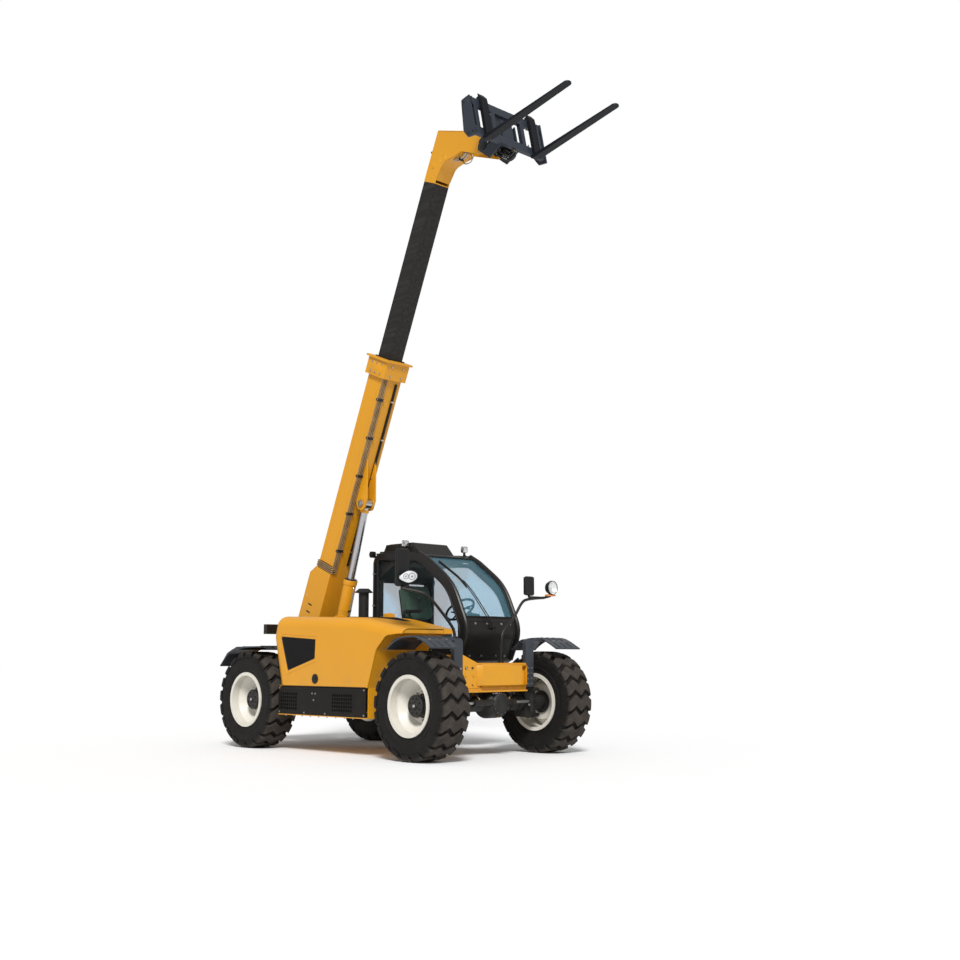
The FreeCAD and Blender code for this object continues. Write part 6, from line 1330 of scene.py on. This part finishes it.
# Crimped ends of the hoses
def buildHoseEnds():
    piece = Piece("carriageHoseEnds", steel, brass, place=carriagePlace)
    for route in hose["routes"]:
        for end, inner in ((route[0], route[1]), (route[-1], route[-2])):
            end, inner = Vector(end), Vector(inner)
            run = (inner - end).normalized()
            piece.rod(end, end + run * 0.022, hose["radius"] * 1.28, finish=0, segments=24, bevel=0.001)
            piece.rod(end - run * 0.001, end + run * 0.008, hose["radius"] * 1.5, finish=1, segments=6)
    piece.done("fork_carriage")


buildHoses()
buildHoseEnds()


print("hood top")
hoodTop = {"front": 0.81, "edge": 0.07, "edgeHeight": 1.555, "fall": 0.18919, "inner": -0.462, "outer": -0.97, "round": 0.13,
           "start": 0.03, "arcEnd": 0.198, "arcRadius": 1.6, "lipLow": 1.366, "thick": 0.010, "proud": 0.0006}


# Closes the front of the hood top, which the rigid hood leaves open behind its front lip
def buildHoodTop():
    item = hoodTop
    piece = Piece("hoodTopSkin", yellow)
    rows = []
    for number in range(25):
        x = item["start"] + (item["front"] + item["proud"] - item["start"]) * number / 24
        z = item["edgeHeight"] - (x - item["edge"]) * item["fall"]
        z -= max(0.0, item["arcEnd"] - x) ** 2 / (2 * item["arcRadius"])
        # The shoulder turns down as far as the lip allows
        last = min(math.radians(70), math.acos(1 - min(z - item["lipLow"] - 0.002, 0.085) / item["round"]))
        row = [(x, item["inner"], z + item["proud"]), (x, -0.72, z + item["proud"])]
        for step in range(9):
            turn = last * step / 8
            reach = item["round"] + item["proud"]
            row.append((x, item["outer"] - reach * math.sin(turn), z - item["round"] + reach * math.cos(turn)))
        rows.append(row)
    for row, nextRow in zip(rows, rows[1:]):
        for (a, b), (c, d) in zip(zip(row, row[1:]), zip(nextRow, nextRow[1:])):
            piece.bm.faces.new([piece.bm.verts.new(spot) for spot in (a, b, d, c)])
    bmesh.ops.remove_doubles(piece.bm, verts=piece.bm.verts, dist=0.0001)
    sheet = list(piece.bm.faces)
    grown = bmesh.ops.extrude_face_region(piece.bm, geom=sheet, use_keep_orig=True)
    lower = [part for part in grown["geom"] if isinstance(part, bmesh.types.BMVert)]
    bmesh.ops.translate(piece.bm, vec=(0, 0, -item["thick"]), verts=lower)
    # Front lip
    x = item["front"] + item["proud"]
    top = item["edgeHeight"] - (item["front"] - item["edge"]) * item["fall"]
    lip = [(x, item["inner"], item["lipLow"]), (x, item["inner"], top), (x, item["outer"], top)]
    for step in range(1, 6):
        turn = math.radians(52 * step / 5)
        lip.append((x, item["outer"] - item["round"] * math.sin(turn), top - item["round"] * (1 - math.cos(turn))))
    piece.slab(lip, (-item["thick"], 0, 0), 0)
    piece.done("engine_hood", 30)


buildHoodTop()


print("hinges, engine and shafts")
lift = {"base": (-1.72, boomSide, 0.75), "eye": (-1.0367, boomSide, 3.0268), "barrel": 0.084, "length": 1.386, "rod": 0.048}


def buildHoodHinges():
    piece = Piece("hoodHinges", yellow, steel)
    for x, z in ((-1.15, 1.590), (-0.28, 1.5660)):
        piece.rod((x - 0.055, -0.4485, z + 0.006), (x + 0.055, -0.4485, z + 0.006), 0.007, finish=0, segments=18, bevel=0.001)
        piece.box((x - 0.050, -0.445, z - 0.001), (x + 0.050, -0.405, z + 0.003), 0, 0.001)
        for offset in (-0.03, 0.03):
            piece.bolt((x + offset, -0.422, z + 0.003), (0, 0, 1), 0.006, 1)
    piece.done("machine")


# Cover, filters, belt and lines on the engine block, which show with the hood up
def buildEngine():
    low, high = span("engine_block")
    piece = Piece("engineFittings", engineMetal, black, steel, rubber, plastic, brass)
    middle = (low + high) / 2
    size = high - low
    top, side = high.z, low.y
    piece.box((low.x + size.x * 0.18, middle.y - 0.11, top - 0.002), (high.x - size.x * 0.12, middle.y + 0.11, top + 0.050), 1, 0.012)
    for number in range(4):
        x = low.x + size.x * (0.26 + 0.16 * number)
        piece.box((x - 0.004, middle.y - 0.10, top + 0.048), (x + 0.004, middle.y + 0.10, top + 0.055), 1, 0.001)
        piece.bolt((x + 0.03, middle.y - 0.09, top + 0.050), (0, 0, 1), 0.007, 2)
        piece.pipe([(x, middle.y - 0.11, top + 0.02), (x, middle.y - 0.15, top + 0.015), (x + 0.01, side + 0.03, top - 0.03), (x + 0.02, side - 0.010, top - 0.09)], 0.004, 2)
    piece.rod((middle.x - 0.12, side - 0.035, top - 0.22), (middle.x - 0.12, side - 0.035, top - 0.06), 0.034, finish=4, segments=32, bevel=0.006)
    piece.rod((middle.x + 0.0, side - 0.035, top - 0.22), (middle.x + 0.0, side - 0.035, top - 0.06), 0.034, finish=0, segments=32, bevel=0.006)
    piece.box((middle.x - 0.18, side - 0.03, top - 0.065), (middle.x + 0.06, side + 0.002, top - 0.035), 0, 0.006)
    piece.box((low.x + size.x * 0.1, side - 0.018, middle.z - 0.12), (high.x - size.x * 0.3, side + 0.002, middle.z - 0.02), 0, 0.008)
    for number in range(6):
        x = low.x + size.x * (0.14 + 0.10 * number)
        piece.bolt((x, side - 0.018, middle.z - 0.035), (0, -1, 0), 0.007, 2)
        piece.bolt((x, side - 0.018, middle.z - 0.105), (0, -1, 0), 0.007, 2)
    piece.pipe([(middle.x + 0.10, side - 0.02, top - 0.05), (middle.x + 0.2, side - 0.04, top - 0.03), (middle.x + 0.28, side - 0.03, top - 0.12),
                (high.x - 0.04, side - 0.01, middle.z)], 0.016, 3)
    piece.done("machine")


def buildShaft():
    piece = Piece("propShaft", casting, steel)
    y, z = 0.085, axleHeight
    rear, front = rearAxle + 0.326, frontAxle - 0.326
    piece.rod((rear + 0.09, y - 0.008, z), (front - 0.09, y - 0.008, z), 0.028, finish=0, segments=32)
    for x, way in ((rear, 1), (front, -1)):
        piece.rod((x, y, z), (x + way * 0.014, y, z), 0.055, finish=0, segments=32, bevel=0.002)
        for turn in (0, 1):
            arm = Vector((0, 0.036, 0)) if turn else Vector((0, 0, 0.036))
            for sign in (-1, 1):
                start = Vector((x + way * 0.010, y, z)) + arm * sign
                piece.rod(start, start + Vector((way * 0.040, 0, 0)), 0.013, finish=0, segments=16)
            cross = Vector((x + way * 0.05, y, z))
            piece.rod(cross - arm * 1.15, cross + arm * 1.15, 0.011, finish=1, segments=18)
        piece.lathe(((0.0, 0.045), (way * 0.05, 0.030), (way * 0.06, 0.0)), (x + way * 0.055, y - 0.004, z), (1, 0, 0), 0, 32)
    piece.done("machine")


def buildLiftTrim():
    base, eye = Vector(lift["base"]), Vector(lift["eye"])
    run = eye - base
    place = Matrix.Translation(base) @ Matrix.Rotation(-math.atan2(run.z, run.x), 4, "Y")
    barrel, rod, end = lift["barrel"], lift["rod"], lift["length"]
    piece = Piece("liftBarrelTrim", yellow, black, steel, rubber, place=place)
    piece.lathe(((-0.060, barrel), (-0.058, barrel + 0.007), (-0.004, barrel + 0.007), (0.0, barrel + 0.004)), (end, 0, 0), (1, 0, 0), 0, 48)
    piece.lathe(((0.0, barrel * 0.96), (0.012, barrel * 0.94), (0.014, barrel * 0.8), (0.014, rod + 0.001)), (end, 0, 0), (1, 0, 0), 1, 48)
    for number in range(8):
        turn = math.tau * number / 8
        piece.bolt((end + 0.012, 0.068 * math.sin(turn), 0.068 * math.cos(turn)), (1, 0, 0), 0.006, 2)
    piece.pipe([(0.20, 0.0, -barrel + 0.004), (0.21, 0.0, -barrel - 0.014), (0.26, 0.0, -barrel - 0.016), (0.7, 0.0, -barrel - 0.016),
                (end - 0.14, 0.0, -barrel - 0.016), (end - 0.09, 0.0, -barrel - 0.014), (end - 0.08, 0.0, -barrel + 0.004)], 0.008, 2)
    for s in (0.45, 1.0):
        piece.lathe(((-0.011, barrel), (-0.011, barrel + 0.003), (0.011, barrel + 0.003), (0.011, barrel)), (s, 0, 0), (1, 0, 0), 0, 48)
        piece.box((s - 0.011, -0.014, -barrel - 0.027), (s + 0.011, 0.014, -barrel), 1, 0.002)
    piece.box((0.165, -0.028, -barrel - 0.020), (0.235, 0.028, -barrel + 0.01), 0, 0.005)
    piece.done("lift_barrel_body")
    eyePiece = Piece("liftRodTrim", yellow, steel, place=place)
    length = run.length
    eyePiece.lathe(((-0.030, rod), (-0.028, rod + 0.010), (0.008, rod + 0.010), (0.012, rod)), (length - 0.085, 0, 0), (1, 0, 0), 0, 40)
    eyePiece.rod((length, 0.0, 0.068), (length, 0.0, 0.080), 0.006, finish=1, segments=8)
    eyePiece.done("lift_rod_body")


buildHoodHinges()
buildEngine()
buildShaft()
buildLiftTrim()


print("tail, tank and steps")


def buildTail():
    low, high = span("tail_lamp_bar")
    middle = (low.z + high.z) / 2
    piece = Piece("tailLenses", redLens, amberLens, lensGlass, black, lampSilver)
    for side in (-1, 1):
        for offset, finish in ((0.06, 0), (0.15, 1), (0.24, 2)):
            y = side * (high.y - offset)
            piece.lathe(((-0.001, 0.040), (0.003, 0.040), (0.003, 0.036)), (low.x, y, middle), (-1, 0, 0), 3, 36)
            piece.lathe(((-0.001, 0.0), (-0.001, 0.036), (0.0025, 0.034), (0.0038, 0.020), (0.004, 0.0)), (low.x, y, middle), (-1, 0, 0), finish, 36)
    piece.done("machine")
    low, high = span("counterweight")
    weight = Piece("weightFittings", steel, casting, black)
    for y in (-0.42, 0.42):
        for z in (low.z + 0.10, high.z - 0.10):
            weight.rod((low.x - 0.0, y, z), (low.x + 0.012, y, z), 0.020, finish=2, segments=24)
            weight.rod((low.x + 0.001, y, z), (low.x + 0.014, y, z), 0.013, finish=0, segments=6)
    weight.done("machine")


def buildTank():
    low, high = span("hydraulic_tank")
    piece = Piece("tankFittings", black, plastic, steel, brass, lensGlass)
    spot = (low.x + 0.20, high.y - 0.16, high.z)
    piece.lathe(((-0.002, 0.058), (0.012, 0.058), (0.014, 0.050), (0.040, 0.048), (0.046, 0.040), (0.046, 0.0)), spot, (0, 0, 1), 1, 40)
    for number in range(12):
        turn = math.tau * number / 12
        piece.box((spot[0] + 0.047 * math.cos(turn) - 0.004, spot[1] + 0.047 * math.sin(turn) - 0.004, spot[2] + 0.014),
                  (spot[0] + 0.047 * math.cos(turn) + 0.004, spot[1] + 0.047 * math.sin(turn) + 0.004, spot[2] + 0.038), 1, 0.001)
    face = high.y
    for x in (low.x + 0.10, high.x - 0.10):
        piece.box((x - 0.022, face - 0.001, low.z + 0.03), (x + 0.022, face + 0.004, high.z - 0.03), 0, 0.0015)
        for z in (low.z + 0.07, high.z - 0.07):
            piece.bolt((x, face + 0.004, z), (0, 1, 0), 0.009, 2)
    piece.box(((low.x + high.x) / 2 - 0.018, face - 0.001, low.z + 0.18), ((low.x + high.x) / 2 + 0.018, face + 0.008, low.z + 0.36), 2, 0.004)
    piece.box(((low.x + high.x) / 2 - 0.009, face + 0.006, low.z + 0.20), ((low.x + high.x) / 2 + 0.009, face + 0.010, low.z + 0.34), 4, 0.001)
    piece.rod((low.x + 0.3, (low.y + high.y) / 2, low.z + 0.002), (low.x + 0.3, (low.y + high.y) / 2, low.z - 0.012), 0.014, finish=2, segments=6)
    piece.done("machine")


buildTail()
buildTank()
